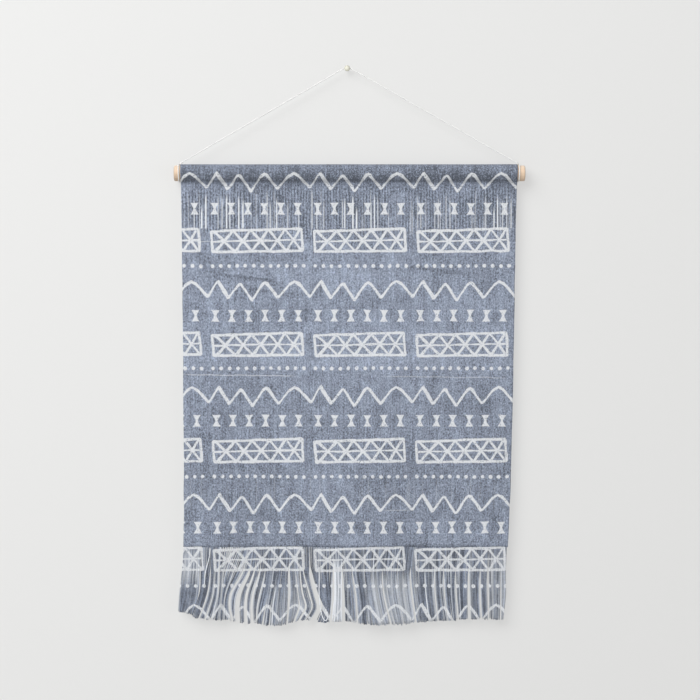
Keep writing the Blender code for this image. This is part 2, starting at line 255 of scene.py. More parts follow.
# Fringe locks from left to right: x of the parting on the lock's right side at five depths below the
# cloth's edge; how far that parting opens two thirds down and at the tips; the lock's length
LOCK_HEIGHTS = (0.0, 0.0334, 0.0616, 0.0770, 0.0937)
FRINGE_LEFT_MM = (-209.6, -212.0, -215.5, -216.6, -217.0)
OPENING_HEIGHTS = (0.0, 0.0250, 0.0340, 0.0616, 0.0937)
ROOT_GAP_MM = 0.1
UPPER_OPENING = 0.70
LOCK_SWAY = 0.0013
TIP_ROUNDING_MM = 0.9
SWAY_PHASE = 2.1
LOCKS_MM = (
    (-188.8, -188.8, -190.6, -195.5, -201.0, 1.9, 1.6, 83.7),
    (-174.7, -175.5, -179.6, -184.5, -190.8, 1.9, 2.4, 90.5),
    (-169.0, -170.1, -172.4, -176.8, -182.7, 1.3, 1.6, 92.0),
    (-161.9, -164.2, -165.6, -168.5, -172.2, 1.1, 1.2, 92.5),
    (-146.5, -158.6, -161.1, -162.4, -163.7, 0.5, 0.5, 93.5),
    (-133.7, -146.8, -156.8, -158.6, -158.6, 0.9, 0.4, 93.5),
    (-126.0, -134.5, -149.8, -151.1, -147.3, 3.2, 2.6, 93.5),
    (-119.6, -126.5, -139.3, -141.4, -140.9, 6.0, 5.8, 94.5),
    (-115.1, -119.8, -129.3, -130.9, -130.3, 3.3, 4.7, 98.3),
    (-109.9, -113.2, -121.1, -122.6, -121.6, 3.0, 4.2, 98.0),
    (-102.9, -106.0, -112.6, -115.5, -116.7, 1.7, 1.2, 97.0),
    (-95.2, -97.8, -101.6, -104.8, -107.5, 0.2, 2.3, 99.0),
    (-88.8, -90.7, -95.8, -98.4, -99.4, 0.2, 1.1, 100.5),
    (-74.0, -74.9, -74.4, -75.2, -76.5, 3.5, 2.7, 101.0),
    (-67.0, -65.7, -63.0, -61.8, -67.3, 1.5, 1.8, 97.0),
    (-61.2, -60.5, -57.0, -52.9, -61.2, 2.3, 2.5, 95.0),
    (-56.7, -55.9, -48.2, -45.0, -53.9, 1.9, 1.6, 93.5),
    (-48.0, -47.0, -39.8, -35.4, -43.1, 5.4, 10.6, 93.0),
    (-18.2, -17.7, -18.0, -19.2, -20.8, 3.0, 3.0, 96.5),
    (-8.0, -6.0, -4.9, -4.6, -4.5, 3.3, 3.3, 95.5),
    (4.2, 6.5, 11.0, 12.3, 13.2, 1.8, 1.8, 95.0),
    (48.5, 44.9, 47.2, 50.5, 54.9, 2.4, 2.4, 99.5),
    (84.3, 81.1, 83.4, 85.4, 87.9, 3.0, 3.0, 98.0),
    (112.6, 112.1, 113.0, 114.5, 116.5, 2.0, 2.0, 95.5),
    (123.9, 123.9, 124.8, 126.6, 129.1, 1.5, 1.5, 94.5),
    (140.2, 139.3, 140.0, 140.9, 142.0, 1.7, 1.7, 93.5),
    (156.7, 156.0, 156.0, 156.3, 156.7, 3.8, 3.8, 92.5),
    (172.1, 170.4, 170.4, 171.1, 172.1, 2.2, 2.2, 92.0),
    (181.9, 180.6, 180.9, 181.2, 181.5, 2.5, 2.5, 91.5),
    (197.8, 197.3, 197.1, 196.9, 196.6, 1.8, 1.8, 92.5),
    (204.6, 203.4, 203.5, 202.0, 199.9, 0.0, 0.0, 93.0),
)

# Loose yarns: how far they wander sideways and in depth, the share of its room that a yarn's radius
# takes, the thinnest and thickest radius, and how unequal the yarns are
YARN_SEED = 5
YARN_WANDER = 0.00022
YARN_DEPTH_WANDER = 0.00030
YARN_ROOM_SHARE = 0.60
YARN_THINNEST = 0.00045
YARN_THICKEST = 0.00092
YARN_THICKNESS_SPREAD = 0.07
YARN_LENGTH_SPREAD_MM = 0.55
YARN_LONGER_MM = 0.3
YARN_ROOT_GAP = 0.00005
OVERLYING_RADIUS = 0.00060

# Where the loose yarns turn pale: how gradually, and from what height at the edges of the locks
YARN_DYE_SEED = 23
PALE_YARN_FADE_MM = 14.0
PALE_EDGE_FADE_MM = 15.0
PALE_EDGE_TOP_MM = -646.0
PALE_STRETCH_FADE_MM = 25.0

# Bare yarns that lie over the fringe, the first curled at its tip: x, depth, z along each
OVERLYING_YARNS_MM = (
    ((-36.0, -3.2, -640.0), (-35.8, -3.8, -655.0), (-36.0, -3.8, -670.0), (-35.5, -3.8, -684.0),
     (-34.0, -3.8, -695.0), (-32.0, -3.9, -703.0), (-29.6, -4.0, -707.8), (-27.2, -4.1, -708.6),
     (-25.6, -4.2, -706.6), (-25.4, -4.3, -704.2)),
    ((-175.6, -2.9, -616.0), (-176.4, -3.6, -626.0), (-179.6, -3.8, -638.5), (-181.9, -3.8, -647.0),
     (-182.8, -3.8, -655.0), (-182.7, -3.9, -663.0)),
)

# Yarns that turn their unprinted side to the viewer: x halfway down the fringe, and the height where
# that starts
PALE_YARNS_MM = (
    (-91.6, -660.0), (-15.1, -626.0), (-11.8, -626.0), (-7.6, -626.0), (-4.2, -626.0), (100.7, -640.0),
)

# Stretches of the fringe whose yarns are thin and mostly show their unprinted side: x from, x to, how
# pale, and the heights where it starts and ends
PALE_STRETCHES_MM = (
    (-214.0, -190.0, 0.40, -606.0, -672.0),
    (-17.5, -3.0, 0.54, -640.0, -800.0),
    (26.0, 92.0, 0.31, -640.0, -800.0),
    (178.0, 205.0, 0.24, -612.0, -800.0),
    (-92.0, -64.0, 0.20, -655.0, -800.0),
)

# Nail
NAIL_SHANK_RADIUS = 0.00125
NAIL_STANDOFF = 0.0106
NAIL_HEAD_RADIUS = 0.00375
NAIL_RIM = 0.0007
NAIL_DOME = 0.0016

# Cord
CORD_RADIUS = 0.00075
CORD_LOOP_START_DEG = -12
CORD_LOOP_END_DEG = 335
CORD_Y_AT_NAIL = -0.0094
KNOT_ASIDE = 0.0005
KNOT_BEHIND = 0.0012
KNOT_HEIGHT = 0.0120
LEAVING_HEIGHT = 0.0130
TIE_TURNS = 1.9
TIE_RISE = 0.0022
TIE_RADIUS = 0.00125
LOOSE_END_ASIDE = 0.0012
LOOSE_END_BACK = 0.0022
LOOSE_END_RISE = 0.0014
LOOSE_END_FALL = 0.0058

# Where the wall glows a little more, behind the fringe: middle, half width, top, foot and soft edge
GLOW_X = -0.005
GLOW_HALF_WIDTH = 0.198
GLOW_TOP = -0.622
GLOW_FOOT = -0.700
GLOW_EDGE = 0.012


def math_node(operation, turned=False):
    """A method for Value that adds one Math node, with its operands turned round if asked."""
    def method(value, *others):
        operands = (*others, value) if turned else (value, *others)
        return value.math(operation, *operands)
    return method


class Value:
    """A number that varies over a surface. Its arithmetic adds Math nodes.

    most and least give the larger and the smaller of two numbers, below gives 1 where this is less
    than a level and 0 elsewhere, rounded the nearest whole number, and cosine takes this as an angle.
    """

    def __init__(self, finish, socket):
        self.finish = finish
        self.socket = socket

    def math(self, operation, *operands, clamp=False):
        """The outcome of one Math node on the operands."""
        settings = {"operation": operation, "use_clamp": clamp}
        return self.finish.value("ShaderNodeMath", settings, dict(enumerate(operands)))

    def kept(self):
        """This, held between 0 and 1."""
        return self.math("ADD", self, 0.0, clamp=True)

    __add__ = __radd__ = math_node("ADD")
    __sub__ = math_node("SUBTRACT")
    __rsub__ = math_node("SUBTRACT", turned=True)
    __mul__ = __rmul__ = math_node("MULTIPLY")
    __truediv__ = math_node("DIVIDE")
    __mod__ = math_node("FLOORED_MODULO")
    __abs__ = math_node("ABSOLUTE")
    most = math_node("MAXIMUM")
    least = math_node("MINIMUM")
    below = math_node("LESS_THAN")
    rounded = math_node("ROUND")
    power = math_node("POWER")
    cosine = math_node("COSINE")


class Finish:
    """A material in the making: its nodes, and the Principled shader that they feed."""

    def __init__(self, name):
        self.material = bpy.data.materials.new(name)
        self.material.use_nodes = True
        self.tree = self.material.node_tree
        self.shader = self.tree.nodes["Principled BSDF"]

    def node(self, kind, settings, sockets):
        """Adds a node: its settings, a ramp's stops among them, then its sockets' values or links."""
        node = self.tree.nodes.new(kind)
        for name, setting in settings.items():
            if name == "stops":
                self.set_stops(node.color_ramp, setting)
            else:
                setattr(node, name, setting)
        for key, given in sockets.items():
            self.feed(node.inputs[key], given)
        return node

    def set_stops(self, ramp, stops):
        """Sets a ramp's stops, each a place and a grey level or colour."""
        while len(ramp.elements) < len(stops):
            ramp.elements.new(1.0)
        for element, (place, level) in zip(ramp.elements, stops):
            element.position = place
            element.color = (*level, 1.0) if isinstance(level, tuple) else (level, level, level, 1.0)

    def feed(self, socket, given):
        """Links a value or a node's output to a socket, or sets the socket's own value."""
        if isinstance(given, Value):
            self.tree.links.new(given.socket, socket)
        elif isinstance(given, bpy.types.NodeSocket):
            self.tree.links.new(given, socket)
        else:
            socket.default_value = given

    def value(self, kind, settings, sockets, output=0):
        """The value that a new node gives."""
        return Value(self, self.node(kind, settings, sockets).outputs[output])

    def attribute(self, name):
        """The three values of a vector kept on the piece's points."""
        read = self.node("ShaderNodeAttribute", {"attribute_name": name}, {})
        apart = self.node("ShaderNodeSeparateXYZ", {}, {0: read.outputs["Vector"]})
        return [Value(self, output) for output in apart.outputs]

    def place(self):
        """The piece's own coordinates: the vector, then its three values."""
        read = self.node("ShaderNodeTexCoord", {}, {}).outputs["Object"]
        apart = self.node("ShaderNodeSeparateXYZ", {}, {0: read})
        return read, [Value(self, output) for output in apart.outputs]

    def vector(self, x, y, z):
        """A vector from three values."""
        return self.node("ShaderNodeCombineXYZ", {}, {0: x, 1: y, 2: z}).outputs[0]

    def noise(self, vector, scale, detail=2.0, roughness=0.5):
        """Soft noise between 0 and 1."""
        sockets = {"Vector": vector, "Scale": scale, "Detail": detail, "Roughness": roughness}
        return self.value("ShaderNodeTexNoise", {}, sockets)

    def uneven(self, vector, scale, spread, detail=2.0, roughness=0.5):
        """Soft noise about zero: 0.5 less than noise, times the spread."""
        return (self.noise(vector, scale, detail, roughness) - 0.5) * spread

    def ramp(self, factor, stops, interpolation="LINEAR"):
        """A value read off a ramp of grey stops."""
        node = self.node("ShaderNodeValToRGB", {"stops": stops}, {0: factor})
        node.color_ramp.interpolation = interpolation
        return Value(self, node.outputs[0])

    def blend(self, factor, first, second):
        """A colour between two colours."""
        sockets = {0: factor, 6: self.colour(first), 7: self.colour(second)}
        return self.node("ShaderNodeMix", {"data_type": "RGBA"}, sockets).outputs[2]

    def shaded(self, colour, amount):
        """A colour made lighter or darker by an amount, 1 leaving it as it is."""
        grey = self.vector(amount, amount, amount)
        sockets = {0: colour if isinstance(colour, bpy.types.NodeSocket) else tuple(colour), 1: grey}
        return self.node("ShaderNodeVectorMath", {"operation": "MULTIPLY"}, sockets).outputs[0]

    def colour(self, given):
        """A colour with its fourth number, or a link as it is."""
        return given if isinstance(given, bpy.types.NodeSocket) else (*given, 1.0)

    def bump(self, height, distance, strength=1.0, normal=None):
        """The normal of a surface that stands up by height times distance."""
        sockets = {"Strength": strength, "Distance": distance, "Height": height}
        if normal is not None:
            sockets["Normal"] = normal
        return self.node("ShaderNodeBump", {}, sockets).outputs[0]

    def finished(self, colour, roughness, normal=None, **plain):
        """Feeds the shader, sets its plain numbers and gives the material."""
        self.feed(self.shader.inputs["Base Color"], self.colour(colour))
        self.feed(self.shader.inputs["Roughness"], roughness)
        if normal is not None:
            self.feed(self.shader.inputs["Normal"], normal)
        for name, number in plain.items():
            self.shader.inputs[name.replace("_", " ")].default_value = number
        return self.material


def soft_step(amount):
    """Rises smoothly from 0 to 1 as amount does: 3 a squared less 2 a cubed."""
    amount = np.clip(amount, 0.0, 1.0)
    return amount * amount * (3.0 - 2.0 * amount)


def vectors(*parts):
    """Vectors from arrays or plain numbers, each spread to the largest shape among them."""
    return np.stack(np.broadcast_arrays(*parts), axis=-1)


def fold_bulge(x, drop):
    """How far the cloth stands towards the viewer: a sum of bell ridges that fade going up."""
    rise = PANEL_DROP - drop
    bulge = np.zeros(np.broadcast(x, drop).shape)
    for centre, half_width, depth, reach, lean in FOLDS:
        middle = centre + lean * rise / PANEL_DROP
        bulge += depth * soft_step(1.0 - rise / reach) * np.exp(-((x - middle) / half_width) ** 2)
    return bulge


def smooth_noise(random, shape, size):
    """Noise of the given shape, about unit spread: coarse random numbers, one in size points, blended."""
    rows = np.arange(shape[0]) / size[0]
    columns = np.arange(shape[1]) / size[1]
    coarse = random.normal(size=(int(rows[-1]) + 2, int(columns[-1]) + 2))
    row = rows.astype(int)
    column = columns.astype(int)
    down = soft_step(rows - row)[:, None]
    over = soft_step(columns - column)[None, :]
    upper = coarse[row][:, column] * (1 - over) + coarse[row][:, column + 1] * over
    lower = coarse[row + 1][:, column] * (1 - over) + coarse[row + 1][:, column + 1] * over
    return upper * (1 - down) + lower * down


def print_across(x_mm, z_mm):
    """Millimetres from the start of the print's repeat: x drawn in towards the hem with the cloth."""
    narrowing = 1.0 + PRINT_NARROWING * (z_mm - PRINT_NARROWING_FROM_MM) / PRINT_NARROWING_DROP_MM
    return PRINT_MIDDLE_MM + (x_mm - PRINT_MIDDLE_MM) / narrowing - REPEAT_START_MM


def grid_faces(rows, columns, closed=False):
    """Quads between neighbouring points of a grid kept row by row, closed round its columns if asked."""
    row, column = np.meshgrid(np.arange(rows - 1), np.arange(columns - (not closed)), indexing="ij")
    over = (column + 1) % columns
    here = row * columns
    below = here + columns
    return vectors(here + column, here + over, below + over, below + column).reshape(-1, 4)


def sheet_faces(rows, columns):
    """Quads of a closed sheet: its face, its reverse, and the strip that joins them round the rim."""
    count = rows * columns
    grid = grid_faces(rows, columns)
    along, up = np.arange(columns - 1), np.arange(rows - 1)
    rim = np.concatenate([along, up * columns + columns - 1, count - 1 - along, (rows - 1 - up) * columns])
    follow = np.roll(rim, -1)
    return np.concatenate([grid[:, ::-1], grid + count, vectors(rim, follow, follow + count, rim + count)])


def steady_frames(path):
    """Two directions across a path that turn as little as they can.

    Each across direction starts from a fixed axis, and the angles that it slips by from point to
    point are added up and taken back.
    """
    along = np.gradient(path, axis=-2)
    along /= np.linalg.norm(along, axis=-1, keepdims=True)
    axis = np.where(np.abs(along[..., 1:2]) < 0.75, np.array([0.0, 1.0, 0.0]), np.array([1.0, 0.0, 0.0]))
    first = np.cross(along, axis)
    first /= np.linalg.norm(first, axis=-1, keepdims=True)
    second = np.cross(along, first)
    carried = first[..., :-1, :]
    carried = carried - np.sum(carried * along[..., 1:, :], axis=-1, keepdims=True) * along[..., 1:, :]
    slip = np.arctan2(
        np.sum(carried * second[..., 1:, :], axis=-1), np.sum(carried * first[..., 1:, :], axis=-1))
    angle = np.concatenate([np.zeros_like(slip[..., :1]), np.cumsum(slip, axis=-1)], axis=-1)[..., None]
    turned = first * np.cos(angle) + second * np.sin(angle)
    return turned, second * np.cos(angle) - first * np.sin(angle)


def with_ends(along):
    """Values along many paths with the first and the last repeated, for the points that close a tube."""
    return np.concatenate([along[:, :1], along, along[:, -1:]], axis=1)


def tubes(paths, radii, sides, lobes=0, lobe_depth=0.0, turns=None):
    """Closed tubes along many paths at once.

    A ring of points stands across each point of a path, at its radius times
    1 - lobe_depth * |sin(lobes / 2 * (angle - turn))|, and both ends close on a point.
    Gives points (paths, steps + 2, sides, 3) and faces.
    """
    first, second = steady_frames(paths)
    angles = np.arange(sides) * 2.0 * math.pi / sides
    twist = np.zeros(paths.shape[:-1]) if turns is None else turns
    hollow = 1.0 - lobe_depth * np.abs(np.sin(lobes / 2.0 * (angles - twist[..., None])))
    reach = (radii[..., None] * hollow)[..., None]
    ring = paths[..., None, :] + reach * (
        np.cos(angles)[:, None] * first[..., None, :] + np.sin(angles)[:, None] * second[..., None, :])
    start = np.repeat(paths[:, :1, None, :], sides, axis=2)
    end = np.repeat(paths[:, -1:, None, :], sides, axis=2)
    points = np.concatenate([start, ring, end], axis=1)
    steps = points.shape[1]
    one = grid_faces(steps, sides, closed=True)
    faces = (np.arange(len(paths))[:, None, None] * steps * sides + one[None]).reshape(-1, 4)
    return points, faces


def add_piece(name, points, faces, material, attributes=None, merge=True):
    """Makes a piece from arrays, with vectors kept on its points, faces outwards and smooth."""
    mesh = bpy.data.meshes.new(name)
    mesh.from_pydata(np.asarray(points).reshape(-1, 3).tolist(), [], faces.tolist())
    for label, vectors in (attributes or {}).items():
        kept = mesh.attributes.new(label, "FLOAT_VECTOR", "POINT")
        kept.data.foreach_set("vector", np.asarray(vectors, dtype=np.float32).ravel())
    mesh.materials.append(material)
    piece = bpy.data.objects.new(name, mesh)
    bpy.context.scene.collection.objects.link(piece)
    bpy.ops.object.select_all(action="DESELECT")
    bpy.context.view_layer.objects.active = piece
    piece.select_set(True)
    bpy.ops.object.mode_set(mode="EDIT")
    bpy.ops.mesh.select_all(action="SELECT")
    if merge:
        bpy.ops.mesh.remove_doubles(threshold=1e-7)
    bpy.ops.mesh.normals_make_consistent(inside=False)
    bpy.ops.object.mode_set(mode="OBJECT")
    mesh.shade_smooth()
    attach(piece, "root")
    return piece


def row_level(steps, levels):
    """A band's height in the row that a place falls in: the first level, moved on at each row's top."""
    level = levels[0]
    for step, upper, lower in zip(steps, levels, levels[1:]):
        level = step * (lower - upper) + level
    return level


def nearest_mark(across, first, pitch, count):
    """Distance across from the nearest of a row of evenly spaced marks."""
    number = ((across - first) / pitch).rounded().most(0.0).least(count - 1.0)
    return across - first - number * pitch


def lattice_distance(across, height):
    """Distance to the strokes of a lattice rectangle: its frame, midline and crossed cells."""
    half = across * LATTICE_GROWTH + LATTICE_HALF_HEIGHT_MM
    level = abs(height - (across - LATTICE_WIDTH_MM / 2) * LATTICE_TILT)
    across = across + height * LATTICE_LEAN
    above = level - half + LATTICE_CORNER_MM
    beside = abs(across - LATTICE_WIDTH_MM / 2) - LATTICE_WIDTH_MM / 2 + LATTICE_CORNER_MM
    corner = (above.most(0.0).power(2.0) + beside.most(0.0).power(2.0)).power(0.5)
    outside = above.most(beside).least(0.0) + corner - LATTICE_CORNER_MM
    frame_line = abs(outside + LATTICE_FRAME_MM / 2) - LATTICE_FRAME_MM / 2
    midline = level - LATTICE_MIDLINE_MM / 2
    span = LATTICE_CELLS_MM[-1] - LATTICE_CELLS_MM[0]
    swing = []
    for number, cell in enumerate(LATTICE_CELLS_MM):
        swing.append(((cell - LATTICE_CELLS_MM[0]) / span, 1.0))
        if number + 1 < len(LATTICE_CELLS_MM):
            middle = (cell + LATTICE_CELLS_MM[number + 1]) / 2
            swing.append(((middle - LATTICE_CELLS_MM[0]) / span, 0.0))
    arm = across.finish.ramp((across - LATTICE_CELLS_MM[0]) / span, swing) * (half - 1.6)
    cell_width = span / (len(LATTICE_CELLS_MM) - 1)
    lean = math.cos(math.atan(2.0 * LATTICE_HALF_HEIGHT_MM / cell_width))
    diagonal = abs(level - arm) * lean - LATTICE_DIAGONAL_MM / 2
    return frame_line.least(midline.least(diagonal).most(outside))


def zigzag_stops():
    """Places on the zigzag's line: each turn becomes three, set on a parabola between its two legs.

    Each is the place across, the line's depth, the cosine of its slope and half the stroke's width.
    """
    first = ZIGZAG_TURNS_MM[0][0]
    span = ZIGZAG_TURNS_MM[-1][0] - first
    stops = []
    legs = list(zip(ZIGZAG_TURNS_MM, ZIGZAG_TURNS_MM[1:]))
    slopes = [(there[1] - here[1]) / (there[0] - here[0]) for here, there in legs]
    for number, (place, depth, rounding, width) in enumerate(ZIGZAG_TURNS_MM):
        before = slopes[max(number - 1, 0)]
        after = slopes[min(number, len(slopes) - 1)]
        width_before = ZIGZAG_TURNS_MM[max(number - 1, 0)][3]
        eased = depth + rounding * (after - before) / 4
        for aside, low, slope, stroke in (
                (-rounding, depth - rounding * before, before, width_before),
                (0.0, eased, (abs(before) + abs(after)) / 4, (width_before + width) / 2),
                (rounding, depth + rounding * after, after, width)):
            factor = (place + aside - first) / span
            if 0.0 <= factor <= 1.0:
                lean = math.cos(math.atan(slope))
                level = (low - ZIGZAG_HIGHEST_MM) / (ZIGZAG_DEEPEST_MM - ZIGZAG_HIGHEST_MM)
                stops.append((factor, (level, lean, stroke / 2 / ZIGZAG_WIDEST_MM)))
    return stops, first, span


def zigzag_distance(across, depth):
    """Distance to the zigzag's stroke: the height above or below its line, times its slope's cosine."""
    stops, first, span = zigzag_stops()
    ramp = across.finish.node("ShaderNodeValToRGB", {"stops": stops}, {0: (across - first) / span})
    apart = across.finish.node("ShaderNodeSeparateColor", {}, {0: ramp.outputs[0]})
    middle, lean, half_width = [Value(across.finish, output) for output in apart.outputs]
    line = middle * (ZIGZAG_DEEPEST_MM - ZIGZAG_HIGHEST_MM) + ZIGZAG_HIGHEST_MM
    return abs(depth - line) * lean - half_width * ZIGZAG_WIDEST_MM - 0.12


def paint_mask(finish, across_all, height, vector):
    """How much paint lies at a place, 0 to 1: where the nearest stroke's distance is below zero."""
    wander = finish.uneven(finish.vector(across_all, height, 3.0), 0.035, 2.4, 1.0)
    waver = finish.uneven(finish.vector(height, across_all, 7.0), 0.045, 2.0, 1.0)
    across_all = across_all + wander
    height = height + waver
    periods = 4.0 * REPEAT_MM + REPEAT_EARLY_MM
    across = (across_all + periods) % REPEAT_MM - REPEAT_EARLY_MM
    steps = [height.below(top) for top in ROW_TOPS_MM]
    zigzag = zigzag_distance(across, row_level(steps, ZIGZAG_MM) - height)
    lattice = lattice_distance(across, height - row_level(steps, LATTICE_MM))
    glass_height = abs(height - row_level(steps, HOURGLASS_MM))
    aside = nearest_mark(across, HOURGLASS_FIRST_MM, HOURGLASS_STEP_MM, HOURGLASS_COUNT)
    flare = (glass_height / HOURGLASS_HALF_HEIGHT_MM).power(1.4) * (HOURGLASS_END_MM - HOURGLASS_WAIST_MM)
    glass = (abs(aside) - flare - HOURGLASS_WAIST_MM).most(glass_height - HOURGLASS_HALF_HEIGHT_MM)
    dot_aside = nearest_mark(across, DOT_FIRST_MM, DOT_STEP_MM, DOT_COUNT)
    dot_height = height - row_level(steps, DOTS_MM)
    dot = (dot_aside * dot_aside + dot_height * dot_height).power(0.5) - DOT_RADIUS_MM
    swelling = finish.uneven(finish.vector(across_all, height, 1.0), 0.07, 1.5, 1.0)
    distance = (zigzag.least(lattice) + swelling).least(glass.least(dot))
    ragged = finish.uneven(vector, 160.0, 1.3) + finish.uneven(vector, 800.0, 0.9)
    return (0.5 - (distance + ragged - 0.1) / 0.6).kept()


def wrinkle_height(finish, x_mm, height):
    """Depth of the pressed wrinkles, for their bump and their painted shade: a bell across each one's
    line, fading out at its two ends.
    """
    ridges = []
    height = height + finish.uneven(finish.vector(x_mm, 0.0, 9.0), 0.05, 5.0, 1.0)
    for places, half_width, depth in WRINKLES_MM:
        (start, start_z), (middle, middle_z), (end, end_z) = places
        first_slope = (middle_z - start_z) / (middle - start)
        second_slope = (end_z - middle_z) / (end - middle)
        along = x_mm - middle
        line = along.least(0.0) * first_slope + along.most(0.0) * second_slope + middle_z
        aside = (height - line) / half_width
        bell = (1.0 - aside * aside).most(0.0).power(1.5)
        length = (end - start) / 2
        fade = ((length - abs(x_mm - (start + length))) / 22.0).kept()
        ridges.append(bell * fade * -depth)
    return reduce(Value.__add__, ridges)


def undyed_lines(finish, x_mm, height):
    """How white the listed bare yarns are: a narrow step at each one's place, fading in from above."""
    lines = []
    share = math.ceil(len(UNDYED_MM) / UNDYED_RAMPS)
    for first in range(0, len(UNDYED_MM), share):
        group = UNDYED_MM[first:first + share]
        start = group[0][0] - 4.0
        span = group[-1][0] + 4.0 - start
        stops = [(0.0, 0.0)]
        for place, white in group:
            half = (UNDYED_WIDTH_MM + UNDYED_WIDER_MM * white) / 2
            stops.append(((place - half - start) / span, white))
            stops.append(((place + half - start) / span, 0.0))
        lines.append(finish.ramp((x_mm - start) / span, stops, "CONSTANT"))
    start_noise = finish.noise(finish.vector(x_mm * 0.12, 0.0, 0.0), 1.0, 0.0)
    top = UNDYED_TOP_MM - (start_noise - 0.30) * 50.0
    above = ((top - height) / 9.0).kept()
    return reduce(Value.most, lines) * above * ((height - UNDYED_LOW_MM) / 1.5).kept()


def weft_lines(finish, x_mm, height):
    """How white the bare weft yarns are: a thin line along each one, fading out at its two ends."""
    lines = []
    height = height + finish.uneven(finish.vector(x_mm, 0.0, 4.0), 0.06, 2.0, 1.0)
    for start, end, place, white in WEFT_LINES_MM:
        middle = (start + end) / 2
        fade = (((end - start) / 2 - abs(x_mm - middle)) / 14.0).kept()
        lines.append((1.3 - abs(height - (x_mm - middle) * -0.012 - place) / 0.7).kept() * fade * white)
    return reduce(Value.most, lines)


def faint_lines(finish, yarn, height):
    """How white the uneven yarns are: a random amount each along their middles, in two stretches."""
    number = yarn.rounded()
    chance = finish.value("ShaderNodeTexWhiteNoise", {"noise_dimensions": "1D"}, {"W": number})
    start = finish.value("ShaderNodeTexWhiteNoise", {"noise_dimensions": "1D"}, {"W": number + 0.37})
    white = ((chance - FAINT_FROM) * 1.9).kept()
    stretches = []
    for top, further, foot, upper_fade, lower_fade, strength in FAINT_STRETCHES_MM:
        begun = ((start * further + top - height) / upper_fade).kept()
        stretches.append(begun * ((height - foot) / lower_fade).kept() * strength)
    return white * abs(yarn - number).below(0.36) * reduce(Value.__add__, stretches)


def cotton_finish(name, settings, woven):
    """Dyed and printed cotton: a weave bump on the cloth, or a twist bump on the loose yarns.

    The points' print_place holds the print's own coordinates in millimetres and 1 on the printed
    side; dye holds the dye's tone, with the shade painted round the sleeve and the light painted
    just below the hem, how undyed a loose yarn is and x in millimetres; weave_place counts yarns
    across and wefts along, or turns round a yarn and twists along it. Where the cloth itself is
    undyed comes from the listed yarns. The crowns of the weave and of the yarns' twist are painted
    lighter than their hollows, as painted shade.
    """
    finish = Finish(name)
    vector, _ = finish.place()
    across, height, printed_side = finish.attribute("print_place")
    tone, undyed, x_mm = finish.attribute("dye")
    yarn, weft, which = finish.attribute("weave_place")
    fleck = finish.noise(finish.vector(yarn, weft * (0.5 if woven else 0.12), which), 1.3, 3.0, 0.6)
    streak = finish.noise(finish.vector(yarn, weft * 0.08, which + 5.0), 1.4, 2.0, 0.6)
    cloud = finish.noise(vector, 55.0, 3.0, 0.6)
    if woven:
        over = (yarn * math.pi).cosine() * (weft * math.pi).cosine()
        crown = abs(over).power(0.6)
        warp_crown = over.most(0.0).power(0.5)
        relief_and_shade = crown * 0.7 + warp_crown * 0.5
        depth = 0.00032
        bright = 0.98
        print_light = 0.99
    else:
        turn = (yarn * 2.0 + weft) * (2.0 * math.pi)
        relief_and_shade = turn.cosine() * 0.5 + 0.5
        depth = 0.00016
        bright = 1.10
        print_light = 1.05 - ((height - DIMMER_ABOVE_MM) / 6.0).kept() * 0.045
    grain = finish.noise(vector, 560.0, 3.0, 0.7)
    wrinkles = wrinkle_height(finish, x_mm, height) * (printed_side * 0.7 + 0.3)
    # Painted shade: the crowns of the weave or twist are lighter than the hollows between yarns
    light = tone + (cloud - 0.5) * 0.80 + relief_and_shade * 0.14 + 0.88
    if woven:
        undyed = undyed_lines(finish, x_mm, height).most(faint_lines(finish, yarn, height))
        undyed = undyed.most(weft_lines(finish, x_mm, height) * (fleck + 0.4))
        begun = ((STRIPED_TOP_MM - height) / 20.0).kept()
        streaked = begun * ((height - STRIPED_FOOT_MM) / 14.0).kept() * 0.4 + 1.0
        stripe = ((x_mm * (1.0 / STRIPE_MM) + (cloud - 0.5) * 0.8) * (2.0 * math.pi)).cosine()
        light = light + (fleck - 0.5) * 2.6 + (grain - 0.5) * 2.7 + (streak - 0.5) * streaked
        # Painted shade: the colour darkens along the wrinkles' troughs
        light = light + wrinkles * 0.21 + stripe * ((streaked - 1.0) * 0.55 + 0.02)
    else:
        light = light + (fleck - 0.5) * 1.5 + (grain - 0.5) * 1.6
    dyed = finish.shaded(settings.dye, light.most(0.35))
    # Bare yarn is also painted lighter on its crowns, as painted shade
    bare = finish.shaded(settings.undyed, (fleck - 0.5) * 0.12 + relief_and_shade * 0.05 + bright)
    ground = finish.blend((undyed * (fleck * 0.4 + 0.92)).kept(), dyed, bare)
    worn = finish.noise(vector, 520.0, 2.0, 0.6)
    paint = paint_mask(finish, across, height, vector) * ((worn - 0.25) * 5.0).kept() * 0.97
    # The print darkens where the tone is low, from the dye's darker clouds and from the shade painted
    # round the sleeve, and is lighter on the crowns of the weave or twist as painted shade
    worked = (fleck - 0.5) * 0.12 + (grain - 0.5) * 0.16 + relief_and_shade * 0.05 + tone.least(0.0) * 0.14
    painted = finish.shaded(settings.paint, worked + print_light)
    face = finish.blend(paint, ground, painted)
    through = finish.blend(SEEN_THROUGH, bare, face)
    colour = finish.blend(printed_side, through, face)
    soft = finish.bump(wrinkles + (cloud - 0.5) * 0.7, 0.0013) if woven else None
    normal = finish.bump(relief_and_shade + (fleck - 0.5) * 0.5, depth, 0.9, soft)
    return finish.finished(colour, 0.9 - paint * 0.12, normal, Sheen_Weight=0.12, Sheen_Roughness=0.6,
                           Specular_IOR_Level=0.25)


